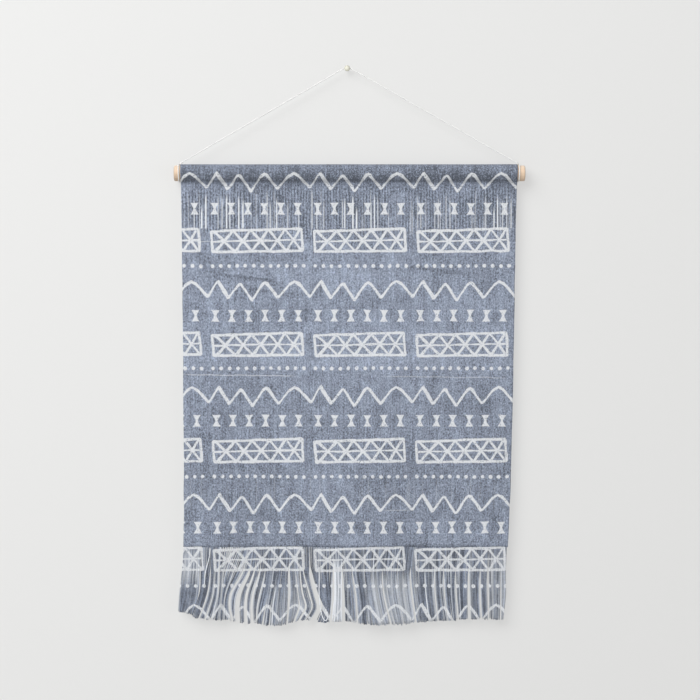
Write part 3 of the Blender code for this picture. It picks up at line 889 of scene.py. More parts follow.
def cord_finish(settings):
    """Twisted white cotton: three strands shaded along their twist, with fine fibres."""
    finish = Finish("white_cord_twist")
    turn, along, _ = finish.attribute("weave_place")
    vector, _ = finish.place()
    strand = ((turn * 3.0 + along) * (2.0 * math.pi)).cosine() * 0.5 + 0.5
    fibre = finish.noise(finish.vector(turn * 9.0 + along * 3.0, along * 0.4, 0.0), 3.0, 2.0, 0.6)
    fuzz = finish.noise(vector, 1500.0)
    colour = finish.shaded(settings.colour, strand * 0.16 + (fibre - 0.5) * 0.16 + 0.86)
    normal = finish.bump(strand * 0.6 + fibre * 0.5 + fuzz * 0.3, 0.00012, 0.8)
    return finish.finished(colour, 0.86, normal, Sheen_Weight=0.15)


def wood_finish(settings):
    """Pale straight-grained wood: long streaks and pores along X, rings on the two ends; painted highlight
    on top, painted shade below, lighter to the right.
    """
    finish = Finish("pale_wood_grain")
    _, (x, y, z) = finish.place()
    side = y - DOWEL_Y
    rise = z - DOWEL_Z
    streaks = finish.noise(finish.vector(x * 9.0, side * 420.0, rise * 420.0), 1.0, 4.0, 0.6)
    pores = finish.noise(finish.vector(x * 55.0, side * 2600.0, rise * 2600.0), 1.0, 2.0, 0.7)
    wander = finish.noise(finish.vector(x * 5.0, side * 60.0, rise * 60.0), 1.0)
    centre = side + 0.016
    ring = (centre * centre + (rise - 0.009) * (rise - 0.009)).power(0.5) * 5200.0 + wander * 9.0
    rings = ring.cosine() * 0.5 + 0.5
    end_face = ((abs(x - DOWEL_X) - (DOWEL_LENGTH / 2 - DOWEL_EASE * 0.7)) / 0.0006).kept()
    pore = ((0.42 - pores) * 6.0).kept()
    grain = (streaks - 0.5) * 0.55 + rings * 0.16 + 0.42
    body = finish.blend(grain.kept(), settings.light_grain, settings.dark_grain)
    painted_light_rise = rise / DOWEL_RADIUS
    # Painted highlight: the top of the rod is blended towards a pale colour
    body = finish.blend((painted_light_rise * 0.9 - 0.25).kept() * 0.5, body, settings.faded)
    # Painted shade below and painted light towards the right end; the pores are darker
    body = finish.shaded(body, painted_light_rise * 0.13 + x * 0.30 + 1.02 - pore * 0.16)
    cut = finish.shaded(body, 0.90 - rings * 0.16 - pore * 0.10)
    normal = finish.bump(streaks * 0.4 - pore * 0.5 + rings * 0.15, 0.00010, 0.7)
    return finish.finished(finish.blend(end_face, body, cut), 0.52 + pore * 0.2 + end_face * 0.2, normal,
                           Specular_IOR_Level=0.4)


def brass_finish(settings):
    """Pale brass with fine scratches, duller towards the rim and below it."""
    finish = Finish("nail_brass")
    vector, (x, y, z) = finish.place()
    tarnish = finish.noise(vector, 420.0, 3.0, 0.6)
    scratch = finish.noise(vector, 2600.0, 2.0, 0.6)
    depth = ((y + NAIL_STANDOFF + NAIL_RIM) / 0.0010 + 0.3).kept()
    aside = (x * x + z * z).power(0.5) / NAIL_HEAD_RADIUS
    dull = ((tarnish - 0.45) * 3.0).kept() * 0.25 + ((aside - 0.40) * 3.0).kept() * 0.55 + depth * 0.2
    colour = finish.blend(dull.kept(), settings.colour, settings.tarnish)
    normal = finish.bump(scratch + tarnish * 0.6, 0.00004, 0.5)
    return finish.finished(colour, 0.58 + dull * 0.2 + scratch * 0.1, normal, Metallic=0.3)


def thread_finish(settings):
    """Sewing thread a little darker than the dye, with painted shade between its plies."""
    finish = Finish("seam_thread")
    vector, (x, _, _) = finish.place()
    ply_and_shade = (x * (2.0 * math.pi / 0.0007)).cosine() * 0.5 + 0.5
    fuzz = finish.noise(vector, 1800.0)
    # Painted shade: the thread is lighter on its plies' crowns than between them
    colour = finish.shaded(settings.thread, ply_and_shade * 0.2 + fuzz * 0.3 + 0.75)
    return finish.finished(colour, 0.8, finish.bump(ply_and_shade, 0.00006, 0.8))


def wall_finish(name, colour, glow):
    """Matt pale paint, clear from behind.

    It glows a little, as painted light, so that its shadows stay faint, more towards the upper left, and a
    little more behind the fringe, where it lightens the fringe's shadow.
    """
    finish = Finish(name)
    vector, (x, _, z) = finish.place()
    stipple = finish.noise(vector, 160.0)
    beside = ((GLOW_HALF_WIDTH - abs(x - GLOW_X)) / GLOW_EDGE).kept()
    behind_fringe = ((GLOW_TOP - z) / GLOW_EDGE).kept() * ((z - GLOW_FOOT) / GLOW_EDGE).kept() * beside
    light = ((1.0 - x * 0.080 + (z + 0.36) * 0.080 + behind_fringe * 0.07) * glow).most(0.0)
    finish.feed(finish.shader.inputs["Emission Color"], finish.vector(light, light, light * 0.992))
    finish.finished(colour, 0.95, finish.bump(stipple, 0.0002, 0.15), Specular_IOR_Level=0.1,
                    Emission_Strength=1.0)
    behind = finish.value("ShaderNodeNewGeometry", {}, {}, "Backfacing")
    clear = finish.node("ShaderNodeBsdfTransparent", {}, {}).outputs[0]
    mix = finish.node("ShaderNodeMixShader", {}, {0: behind, 1: finish.shader.outputs[0], 2: clear})
    finish.tree.links.new(mix.outputs[0], finish.tree.nodes["Material Output"].inputs["Surface"])
    return finish.material


def sheet_section():
    """The cloth's middle line from the hem up the panel, round the dowel and down to the flap's end.

    Straight runs, two cubic arcs where the sleeve closes, and a circle round the dowel. Gives depth,
    height, the print's own height, which runs on round the back, and the length along the cloth.
    """
    settings = bpy.context.scene.hanging_cloth
    opening = math.radians(SLEEVE_OPENING_DEG)
    closed_z = SEAM_Z - SLEEVE_EASE
    panel_z = np.linspace(HEM_Z, closed_z, settings.rows)
    panel_y = np.full(settings.rows, DOWEL_Y)
    angle = np.radians(np.linspace(SLEEVE_OPENING_DEG, -SLEEVE_OPENING_DEG, SLEEVE_RING_POINTS))
    ring_y = DOWEL_Y - SLEEVE_RADIUS * np.sin(angle)
    ring_z = DOWEL_Z + SLEEVE_RADIUS * np.cos(angle)
    pull_y = SLEEVE_PULL * math.cos(opening)
    pull_z = SLEEVE_PULL * math.sin(opening)
    part = np.linspace(0.0, 1.0, 9)[1:-1]
    front_y, front_z = cubic_arc(
        (DOWEL_Y, closed_z), (0.0, SLEEVE_PULL), (ring_y[0], ring_z[0]), (pull_y, pull_z), part)
    flap_y = DOWEL_Y + FLAP_BEHIND
    back_y, back_z = cubic_arc(
        (ring_y[-1], ring_z[-1]), (pull_y, -pull_z), (flap_y, closed_z), (0.0, -SLEEVE_PULL), part)
    flap_z = np.linspace(closed_z, SEAM_Z - settings.flap, FLAP_POINTS)
    y = np.concatenate([panel_y, front_y, ring_y, back_y, np.full(FLAP_POINTS, flap_y)])
    z = np.concatenate([panel_z, front_z, ring_z, back_z, flap_z])
    length = np.concatenate([[0.0], np.cumsum(np.hypot(np.diff(y), np.diff(z)))])
    widest = settings.rows + len(part) + np.argmin(np.abs(angle - math.pi / 2))
    print_z = np.where(length <= length[widest], z, z[widest] + length - length[widest])
    print_z = print_z + np.clip(print_z - SEAM_Z, 0.0, None) * SLEEVE_PRINT_STRETCH
    return y, z, print_z, length


def cubic_arc(start, leave, end, arrive, part):
    """Points of a cubic from start to end that leaves and arrives in the given directions."""
    start, leave, end, arrive = (np.array(pair)[:, None] for pair in (start, leave, end, arrive))
    out = 1.0 - part
    first = 3 * out ** 2 * part * (start + leave)
    second = 3 * out * part ** 2 * (end - arrive)
    return out ** 3 * start + first + second + part ** 3 * end


def dye_tone(x, print_z, random):
    """How much lighter the dye is at each point: clouds, patches, yarns of uneven depth, and painted shade
    round the sleeve.
    """
    tone = sum(smooth_noise(random, x.shape, size) * strength for size, strength in DYE_CLOUDS)
    for centre, height, half_width, half_height, lighter in PATCHES_MM:
        aside = (x / MM - centre) / half_width
        above = (print_z / MM - height) / half_height
        tone += lighter * np.exp(-aside ** 2 - above ** 2)
    # Painted shade round the sleeve's underside, and painted light on a narrow edge just below it
    heights, darker = np.array(SLEEVE_SHADE_MM).T
    return tone - np.interp(print_z / MM, heights, darker)


def build_cloth_mesh(settings):
    """Points, faces and kept vectors of the cloth: a printed face and a reverse, closed at all edges.

    The section is repeated at each warp yarn across the cloth, moved along its own normal by half the
    thickness to each side. The panel stands forward by the folds and a slight ripple.
    """
    y, z, print_z, length = sheet_section()
    rows = len(y)
    columns = settings.columns
    random = np.random.default_rng(CLOTH_SEED)
    across = np.linspace(0.0, 1.0, columns)[None, :]
    table = np.array(EDGES)
    drop = np.clip(SEAM_Z - z, 0.0, None)
    sleeve = length > length[settings.rows - 1]
    drop = np.where(sleeve, 0.0, drop)
    left = np.interp(drop, table[:, 0], table[:, 1])[:, None]
    right = np.interp(drop, table[:, 0], table[:, 2])[:, None]
    x = left + across * (right - left)
    x = x + smooth_noise(random, (rows, 2), (5, 1))[:, :1] * SIDE_WANDER * (1 - 2 * across)
    low = soft_step(drop / 0.05)[:, None]
    ripple = smooth_noise(random, (rows, columns), (9, 30)) * PANEL_RIPPLE
    bulge = fold_bulge(x, drop[:, None]) + ripple * low
    step_y = np.gradient(y)
    step_z = np.gradient(z)
    size = np.hypot(step_y, step_z)
    normal_y = (-step_z / size)[:, None]
    normal_z = (step_y / size)[:, None]
    slack = smooth_noise(random, (1, columns), (1, 14))[0][None, :] * SLEEVE_SLACK + SLEEVE_SLACK
    round_part = (np.abs(z - DOWEL_Z) < SLEEVE_RADIUS * 0.93)[:, None] & sleeve[:, None]
    puff = np.where(round_part, slack, 0.0)
    puff = np.apply_along_axis(lambda line: np.convolve(line, np.ones(5) / 5, "same"), 0, puff)
    half = settings.thickness / 2
    edge = np.minimum(np.minimum(across, 1 - across) * 2 * (columns - 1), 1.0)
    half_here = half * (0.55 + 0.45 * edge) + np.zeros((rows, 1))
    half_here[0] *= 0.6
    half_here[-1] *= 0.6
    hanging = np.where(sleeve, 0.0, 1.0)[:, None]
    sides = []
    for way in (1.0, -1.0):
        outward = way * half_here + puff
        side_y = y[:, None] - bulge * hanging + normal_y * outward
        side_z = z[:, None] + normal_z * outward
        sides.append(vectors(x, side_y, side_z))
    x_mm = x / MM
    print_mm = (print_z / MM)[:, None]
    place = [vectors(print_across(x_mm, print_mm), print_mm, printed) for printed in (1.0, 0.0)]
    dye = vectors(dye_tone(x, print_z[:, None], random), 0.0, x_mm)
    weave = vectors(np.arange(columns), (length / settings.weft_pitch)[:, None], 0.0)
    attributes = {
        "print_place": np.stack(place),
        "dye": np.stack([dye, dye]),
        "weave_place": np.stack([weave, weave]),
    }
    return np.stack(sides), sheet_faces(rows, columns), attributes


def parting_x(knots_mm, below):
    """X of a parting at depths below the cloth's edge: a cubic through its five places."""
    table = np.array(knots_mm) * MM
    heights = np.array(LOCK_HEIGHTS)
    slopes = np.gradient(table, heights)
    piece = np.clip(np.searchsorted(heights, below, side="right") - 1, 0, len(heights) - 2)
    span = heights[piece + 1] - heights[piece]
    along = (below - heights[piece]) / span
    rise = along * along * (3.0 - 2.0 * along)
    start_pull = along * (1.0 - along) ** 2 * span * slopes[piece]
    end_pull = along * along * (along - 1.0) * span * slopes[piece + 1]
    return table[piece] * (1.0 - rise) + table[piece + 1] * rise + start_pull + end_pull


def parting_opening(widths_mm, below):
    """How far a parting is open at the depths below the cloth's edge."""
    middle, tip = widths_mm
    opened = (ROOT_GAP_MM, ROOT_GAP_MM + 0.06 * middle, UPPER_OPENING * middle, middle, tip)
    return np.interp(below, OPENING_HEIGHTS, opened) * MM


def yarn_paths(settings):
    """Middle lines and radii of all loose yarns, and which of them stand at a lock's edge.

    The yarns of a lock share the room between its two partings evenly. The yarns that lie over the
    fringe come last.
    """
    random = np.random.default_rng(YARN_SEED)
    paths = []
    radii = []
    outer = []
    left_knots = FRINGE_LEFT_MM
    left_opening = (0.0, 0.0)
    part = np.linspace(0.0, 1.0, settings.steps)
    lengths = [lock[-1] for lock in LOCKS_MM]
    for number, (*right_knots, middle_opening, tip_opening, length) in enumerate(LOCKS_MM):
        right_opening = (middle_opening, tip_opening)
        shorter_left = (lengths[max(number - 1, 0)] - length) / 2
        shorter_right = (lengths[min(number + 1, len(lengths) - 1)] - length) / 2
        below = part * length * MM
        left = parting_x(left_knots, below) + parting_opening(left_opening, below) / 2
        right = parting_x(right_knots, below) - parting_opening(right_opening, below) / 2
        count = max(1, round(float(np.mean(right - left)) / settings.pitch))
        place = ((np.arange(count) + 0.5) / count)[:, None]
        sway = LOCK_SWAY * math.sin(SWAY_PHASE * number) * part ** 2
        wander = random.normal(size=(count, 1)) * YARN_WANDER * np.sin(part * math.pi * 1.5)
        tip = np.interp(place, (0.0, 0.5, 1.0), (shorter_left, 0.0, shorter_right))
        tip = tip - (place * 2.0 - 1.0) ** 4 * TIP_ROUNDING_MM
        longer = random.normal(size=(count, 1)) * YARN_LENGTH_SPREAD_MM + tip + YARN_LONGER_MM
        x = left + place * (right - left) + wander
        root_y = DOWEL_Y - fold_bulge(x[:, :1], np.full((count, 1), PANEL_DROP))
        layer = random.normal(size=(count, 1)) * YARN_DEPTH_WANDER * soft_step(part * 4.0)
        y = root_y - sway + layer
        z = HEM_Z - YARN_ROOT_GAP - below * (1.0 + longer / length * part)
        paths.append(vectors(x, y, z))
        outer.append((np.arange(count) == 0) | (np.arange(count) == count - 1))
        thick = np.clip((right - left) / count * YARN_ROOM_SHARE, YARN_THINNEST, YARN_THICKEST)
        thick = thick * (1.0 + random.normal(size=(count, 1)) * YARN_THICKNESS_SPREAD)
        radii.append(thick * np.interp(part, (0.0, 0.95, 1.0), (0.95, 1.0, 0.80)))
        left_knots = right_knots
        left_opening = right_opening
    for line_mm in OVERLYING_YARNS_MM:
        line = np.array(line_mm) * MM
        along = np.linspace(0.0, 1.0, len(line))
        path = vectors(*(np.interp(part, along, column) for column in line.T))
        paths.append(path[None] + np.array((0.0, DOWEL_Y, 0.0)))
        radii.append(np.full((1, settings.steps), OVERLYING_RADIUS))
        outer.append(np.array([False]))
    return np.concatenate(paths), np.concatenate(radii), np.concatenate(outer)


def yarn_paleness(halfway_mm, outer, x_mm, z_mm, random):
    """How undyed the loose yarns are: at random, where listed, and low on those at a lock's edge."""
    count = len(outer)
    listed_x, tops = np.array(PALE_YARNS_MM).T
    aside = np.abs(halfway_mm[:, None] - listed_x[None, :])
    listed = np.min(aside, axis=1) < 0.75
    top_mm = tops[np.argmin(aside, axis=1)][:, None, None]
    pale = np.clip(random.normal(size=count) * 0.30 - 0.20, 0.0, 0.6)
    pale[-len(OVERLYING_YARNS_MM):] = 0.95
    edge_pale = outer * random.uniform(-0.2, 0.55, size=count)
    bare_part = soft_step((top_mm - z_mm) / PALE_YARN_FADE_MM)
    pale = np.maximum(pale[:, None, None], 0.85 * listed[:, None, None] * bare_part)
    low_part = soft_step((PALE_EDGE_TOP_MM - z_mm) / PALE_EDGE_FADE_MM)
    pale = np.maximum(pale, edge_pale[:, None, None] * low_part)
    for start, end, paler, top, bottom in PALE_STRETCHES_MM:
        inside = soft_step((x_mm - start) / 3.0 + 0.5) * soft_step((end - x_mm) / 3.0 + 0.5)
        inside = inside * soft_step((top - z_mm) / PALE_STRETCH_FADE_MM)
        inside = inside * soft_step((z_mm - bottom) / PALE_STRETCH_FADE_MM)
        each = (0.15 + 1.7 * random.random(count))[:, None, None]
        pale = np.maximum(pale, paler * each * inside)
    return np.clip(pale, 0.0, 0.95)


def build_yarn_mesh(settings):
    """Points, faces and kept vectors of all loose yarns: thin tubes whose front half is printed."""
    paths, radii, outer = yarn_paths(settings)
    random = np.random.default_rng(YARN_DYE_SEED)
    points, faces = tubes(paths, radii, settings.sides)
    count, steps = points.shape[:2]
    front = with_ends(paths)[:, :, None, 1] - points[..., 1]
    front = front / np.maximum(with_ends(radii)[..., None], 1e-6)
    printed = np.clip(front * 1.4 + 0.9, 0.0, 1.0)
    x_mm = points[..., 0] / MM
    z_mm = points[..., 2] / MM
    halfway_mm = paths[:, settings.steps // 2, 0] / MM
    pale = yarn_paleness(halfway_mm, outer, x_mm, z_mm, random)
    tone = (random.normal(size=count) * 0.20 - 0.23)[:, None, None]
    wave = smooth_noise(random, (count, steps), (1, 5))[:, :, None] * 0.05
    # Painted light: the loose yarns are lighter towards the hem, against the shade just below the cloth's
    # edge
    hem_painted_light = np.interp(z_mm, (-650.0, HEM_Z / MM), (0.0, 0.06))
    turn = np.arange(settings.sides) / settings.sides
    which = np.arange(count)[:, None, None] * 3.7
    attributes = {
        "print_place": vectors(print_across(x_mm, z_mm), z_mm, printed),
        "dye": vectors(tone + wave + hem_painted_light, pale, x_mm),
        "weave_place": vectors(turn, -z_mm / settings.twist_mm, which),
    }
    return points, faces, attributes


def cord_half(sleeve_end, outward):
    """Half of the cord's middle line: a turn round the dowel, a knot and a straight run to the nail."""
    beside = sleeve_end + outward * (GAP + CORD_RADIUS)
    turn_pitch = 2 * CORD_RADIUS + GAP
    loop_radius = DOWEL_RADIUS + GAP + CORD_RADIUS
    part = np.linspace(0.0, 1.0, 60)
    angle = np.radians(CORD_LOOP_START_DEG + (CORD_LOOP_END_DEG - CORD_LOOP_START_DEG) * part)
    loop = vectors(
        beside + outward * turn_pitch * (1.0 - part),
        DOWEL_Y - loop_radius * np.sin(angle), DOWEL_Z + loop_radius * np.cos(angle))
    knot = (beside + outward * KNOT_ASIDE, DOWEL_Y + KNOT_BEHIND, DOWEL_Z + KNOT_HEIGHT)
    leave = np.array((beside - outward * KNOT_ASIDE, DOWEL_Y, DOWEL_Z + LEAVING_HEIGHT))
    arc_radius = NAIL_SHANK_RADIUS + GAP + CORD_RADIUS
    lean = math.atan2(-leave[2], abs(leave[0]))
    arrive = np.array(
        (outward * arc_radius * math.sin(lean), CORD_Y_AT_NAIL, arc_radius * math.cos(lean)))
    run = leave + np.linspace(0.0, 1.0, 15)[:, None] * (arrive - leave)
    bend = lean * np.linspace(1.0, 0.0, 9)[1:-1]
    over = vectors(outward * arc_radius * np.sin(bend), CORD_Y_AT_NAIL, arc_radius * np.cos(bend))
    return np.concatenate([loop, [knot], run, over])


def even_path(points, step):
    """A path's points set out again at even steps, with its corners eased by a short running mean."""
    length = np.concatenate([[0.0], np.cumsum(np.linalg.norm(np.diff(points, axis=0), axis=1))])
    count = int(round(length[-1] / step)) + 1
    places = np.linspace(0.0, length[-1], count)
    even = vectors(*(np.interp(places, length, column) for column in points.T))
    eased = even.copy()
    eased[2:-2] = (even[:-4] + even[1:-3] + even[2:-2] + even[3:-1] + even[4:]) / 5
    return eased, length[-1]


def knot_path(sleeve_end, outward):
    """The tie's middle line: two close turns round the cord just above the dowel, and a short end."""
    beside = sleeve_end + outward * (GAP + CORD_RADIUS)
    base = np.array(
        (beside - outward * KNOT_ASIDE * 0.5, DOWEL_Y + 0.0002, DOWEL_Z + KNOT_HEIGHT + 0.0001))
    leave = np.array((-outward * abs(beside), 0.0, -(DOWEL_Z + LEAVING_HEIGHT)))
    axis = leave / np.linalg.norm(leave)
    side = np.array((0.0, 1.0, 0.0))
    up = np.cross(axis, side)
    part = np.linspace(0.0, 1.0, 40)[:, None]
    angle = part * 2.0 * math.pi * TIE_TURNS
    turns = base + axis * part * TIE_RISE + TIE_RADIUS * (np.cos(angle) * side + np.sin(angle) * up)
    part = np.linspace(0.0, 1.0, 12)[1:, None]
    level = part * np.array((outward * LOOSE_END_ASIDE, LOOSE_END_BACK, 0.0))
    upright = np.array((0.0, 0.0, 1.0)) * (part * LOOSE_END_RISE - part ** 2 * LOOSE_END_FALL)
    return np.concatenate([turns, turns[-1] + level + upright])


def turned_points(profile, sides):
    """Rings of a turned shape about +X, from (along, radius) pairs."""
    angles = np.arange(sides) * 2.0 * math.pi / sides
    along, radius = profile[:, :1], profile[:, 1:]
    return vectors(along, radius * np.cos(angles), radius * np.sin(angles))


def colour_setting(name, description, default):
    """A colour that the panel shows."""
    return FloatVectorProperty(
        name=name, description=description, subtype="COLOR", default=default, min=0.0, max=1.0)


def length_setting(name, description, default):
    """A length that the panel shows."""
    return FloatProperty(name=name, description=description, default=default, unit="LENGTH")


def power_setting(name, description, default):
    """A light's power that the panel shows."""
    return FloatProperty(name=name, description=description, default=default, unit="POWER")


def count_setting(name, description, default, fewest):
    """A whole number that the panel shows."""
    return IntProperty(name=name, description=description, default=default, min=fewest)


def number_setting(name, description, default, least):
    """A plain number that the panel shows."""
    return FloatProperty(name=name, description=description, default=default, min=least)


class StageSettings(PropertyGroup):
    """Camera, light and backdrop."""

    wall_colour: colour_setting("Wall colour", "Colour of the backdrop wall", (0.30, 0.30, 0.296))
    floor_colour: colour_setting("Floor colour", "Colour of the floor", (0.66, 0.66, 0.65))
    glow: number_setting("Glow", "The wall's own light, which keeps its shadows faint", 0.491, 0.0)
    lens: number_setting("Lens", "Focal length of the camera in millimetres", 100.2, 10.0)
    distance: length_setting("Distance", "Camera's distance from the cloth", 2.5)
    drop: length_setting("Floor drop", "How far the floor is below the nail", 1.5)
    key_power: power_setting("Key light", "Power of the large light at the upper left", 112.0)
    fill_power: power_setting("Fill light", "Power of the large light at the right", 16.0)
    sky: number_setting("Sky", "Strength of the even light from all round", 0.30, 0.0)


class CordSettings(PropertyGroup):
    """The hanging cord."""

    colour: colour_setting("Colour", "Colour of the cord", (0.96, 0.96, 0.945))
    step: length_setting("Step", "Length between two rings of the cord's surface", 0.0005)
    lay: length_setting("Lay", "Length of one full twist of the strands", 0.0048)


class ClothSettings(PropertyGroup):
    """The printed cloth, its seam and its dye."""

    thickness: length_setting("Thickness", "Thickness of the cloth", 0.00112)
    columns: count_setting("Warp yarns", "Warp yarns across the cloth", 279, 20)
    rows: count_setting("Rows", "Rows of points down the panel", 98, 10)
    weft_pitch: length_setting("Weft pitch", "Distance between two weft yarns", 0.0017)
    flap: length_setting("Flap", "How far the turned-back end reaches below the seam", 0.011)
    dye: colour_setting("Dye", "Colour of the dyed ground", (0.262, 0.299, 0.380))
    undyed: colour_setting("Undyed cotton", "Colour of bare yarn", (0.80, 0.825, 0.865))
    paint: colour_setting("Paint", "Colour of the printed pattern", (0.770, 0.786, 0.815))
    thread: colour_setting("Thread", "Colour of the seam's thread", (0.20, 0.23, 0.30))


class FringeSettings(PropertyGroup):
    """The loose yarns."""

    pitch: length_setting("Pitch", "Room that each loose yarn takes", 0.00150)
    steps: count_setting("Steps", "Points along each yarn", 20, 4)
    sides: count_setting("Sides", "Sides of each yarn", 6, 4)
    twist_mm: number_setting("Twist", "Millimetres to one twist of a yarn", 3.4, 0.5)


class DowelSettings(PropertyGroup):
    """The wooden dowel."""

    light_grain: colour_setting("Light grain", "Colour of the pale wood", (0.86, 0.69, 0.53))
    dark_grain: colour_setting("Dark grain", "Colour of the darker streaks", (0.68, 0.475, 0.315))
    # The top's pale colour stands for a painted highlight
    faded: colour_setting("Highlight", "Colour of the sun-faded top", (0.95, 0.87, 0.76))
    sides: count_setting("Sides", "Sides of the turned rod", 72, 12)


class NailSettings(PropertyGroup):
    """The picture nail."""

    colour: colour_setting("Brass", "Colour of the bright brass", (0.80, 0.79, 0.69))
    tarnish: colour_setting("Tarnish", "Colour of the dull brass", (0.66, 0.65, 0.54))
    sides: count_setting("Sides", "Sides of the turned nail", 48, 12)


class HANGING_OT_stage(Operator):
    """Sets up the camera, the lights, the wall and the floor"""

    bl_idname = "hanging.stage"
    bl_label = "Stage"

    def execute(self, context):
        settings = context.scene.hanging_stage
        self.add_camera(context, settings)
        wall = self.add_plane(
            "wall", settings.wall_colour, settings.glow, (-4.0, 4.0), (-settings.drop, 3.0))
        wall.data.transform(self.turned(0.0006))
        for ray in ("visible_shadow", "visible_diffuse", "visible_glossy"):
            setattr(wall, ray, False)
        floor = self.add_plane("floor", settings.floor_colour, 0.0, (-4.0, 4.0), (-6.0, 4.0))
        floor.data.transform(self.raised(-settings.drop))
        self.add_light(context, "key_light", (-1.7, -2.5, 1.5), 2.6, settings.key_power)
        self.add_light(context, "fill_light", (2.4, -2.2, -0.4), 2.2, settings.fill_power)
        self.add_light(context, "back_light", (-1.2, 2.4, 0.8), 2.4, settings.fill_power * 2.3)
        world = bpy.data.worlds.new("studio_sky")
        world.use_nodes = True
        sky = world.node_tree.nodes["Background"]
        sky.inputs["Color"].default_value = (0.98, 0.985, 0.99, 1.0)
        sky.inputs["Strength"].default_value = settings.sky
        context.scene.world = world
        context.scene.view_settings.view_transform = "Standard"
        return {"FINISHED"}

    def add_camera(self, context, settings):
        """A face-on camera that holds the picture's frame."""
        data = bpy.data.cameras.new("camera")
        data.lens = settings.lens
        data.sensor_width = 36.0
        data.sensor_fit = "HORIZONTAL"
        camera = bpy.data.objects.new("camera", data)
        camera.location = (0.0036, DOWEL_Y - settings.distance, -0.3618)
        camera.rotation_euler = (math.pi / 2, 0.0, 0.0)
        context.scene.collection.objects.link(camera)
        context.scene.camera = camera

    def add_plane(self, name, colour, glow, x_range, y_range):
        """A flat sheet of the backdrop, in the XY plane."""
        (left, right), (near, far) = x_range, y_range
        points = [(left, near, 0.0), (right, near, 0.0), (right, far, 0.0), (left, far, 0.0)]
        mesh = bpy.data.meshes.new(name)
        mesh.from_pydata(points, [], [(0, 1, 2, 3)])
        mesh.materials.append(wall_finish(f"{name}_paint", colour, glow))
        plane = bpy.data.objects.new(name, mesh)
        bpy.context.scene.collection.objects.link(plane)
        return plane

    def turned(self, y):
        """Stands a flat sheet upright at depth y, facing -Y."""
        return Matrix(((1, 0, 0, 0), (0, 0, -1, y), (0, 1, 0, 0), (0, 0, 0, 1)))

    def raised(self, z):
        """Moves a flat sheet to height z."""
        return Matrix.Translation((0.0, 0.0, z))

    def add_light(self, context, name, place, size, power):
        """A large square light that looks at the middle of the hanging."""
        data = bpy.data.lights.new(name, "AREA")
        data.size = size
        data.energy = power
        light = bpy.data.objects.new(name, data)
        light.location = place
        aim = Vector((0.0, 0.0, -0.36)) - Vector(place)
        light.rotation_euler = aim.to_track_quat("-Z", "Y").to_euler()
        context.scene.collection.objects.link(light)


class HANGING_OT_cord(Operator):
    """Makes the twisted cord and its two ties round the dowel"""

    bl_idname = "hanging.cord"
    bl_label = "Cord"

    def execute(self, context):
        settings = context.scene.hanging_cord
        finish = cord_finish(settings)
        _, left_end, right_end = EDGES[0]
        top = [(0.0, CORD_Y_AT_NAIL, NAIL_SHANK_RADIUS + GAP + CORD_RADIUS)]
        route = np.concatenate([cord_half(left_end, -1), top, cord_half(right_end, 1)[::-1]])
        path, length = even_path(route, settings.step)
        cord = self.add_twist("hanging_cord", [path], finish, settings)
        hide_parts("cord")
        ties = [even_path(knot_path(left_end, -1), settings.step / 2)[0],
                even_path(knot_path(right_end, 1), settings.step / 2)[0]]
        fewest = min(len(tie) for tie in ties)
        knots = self.add_twist("cord_ties", [tie[:fewest] for tie in ties], finish, settings)
        return {"FINISHED"}

    def add_twist(self, name, paths, finish, settings):
        """Three-lobed tubes whose lobes turn along the paths."""
        paths = np.array(paths)
        steps = np.linalg.norm(np.diff(paths, axis=1), axis=2)
        along = np.concatenate([np.zeros((len(paths), 1)), np.cumsum(steps, axis=1)], axis=1)
        radii = np.full(along.shape, CORD_RADIUS * 1.06)
        radii[:, [0, -1]] *= 0.55
        turns = along / settings.lay * 2.0 * math.pi
        sides = 12
        points, faces = tubes(paths, radii, sides, lobes=3, lobe_depth=0.16, turns=turns)
        turn = -with_ends(along)[..., None] / settings.lay * 3.0
        place = vectors(np.arange(sides) / sides, turn, 0.0)
        piece = add_piece(name, points, faces, finish, {"weave_place": place})
        return piece


class HANGING_OT_fringe(Operator):
    """Makes the loose yarns below the cloth"""

    bl_idname = "hanging.fringe"
    bl_label = "Fringe"

    def execute(self, context):
        points, faces, attributes = build_yarn_mesh(context.scene.hanging_fringe)
        finish = cotton_finish("loose_yarn_twist", context.scene.hanging_cloth, woven=False)
        yarns = add_piece("fringe_yarns", points, faces, finish, attributes)
        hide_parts("fringe")
        return {"FINISHED"}


class HANGING_OT_seam(Operator):
    """Makes the stitches that hold the sleeve's turned-back end"""

    bl_idname = "hanging.seam"
    bl_label = "Seam"

    def execute(self, context):
        settings = context.scene.hanging_cloth
        _, left, right = EDGES[0]
        count = int((right - left - 0.006) / STITCH_PITCH)
        middle = np.linspace(left + 0.004, right - 0.004, count)[:, None]
        part = np.linspace(-1.0, 1.0, STITCH_POINTS)[None, :]
        bow = (1.0 - part ** 2) * STITCH_BOW
        x = middle + part * STITCH_HALF_LENGTH
        z = SEAM_Z - STITCH_DROP + np.sin(middle * 900.0) * 0.00008
        front_y = DOWEL_Y - settings.thickness / 2 - bow
        back_y = DOWEL_Y + FLAP_BEHIND + settings.thickness / 2 + bow
        paths = np.concatenate([vectors(x, front_y, z), vectors(x, back_y, z)])
        radii = np.full(paths.shape[:2], STITCH_RADIUS)
        radii[:, [0, -1]] = STITCH_RADIUS / 2
        points, faces = tubes(paths, radii, 6)
        seam = add_piece("seam_stitches", points, faces, thread_finish(settings))
        return {"FINISHED"}


class HANGING_OT_cloth(Operator):
    bl_idname = "hanging.cloth"
    bl_label = "Cloth"

    def execute(self, context):
        settings = context.scene.hanging_cloth
        points, faces, attributes = build_cloth_mesh(settings)
        finish = cotton_finish("printed_cotton_weave", settings, woven=True)
        cloth = add_piece("printed_cloth", points, faces, finish, attributes, merge=False)
        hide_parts("cloth")
        return {"FINISHED"}


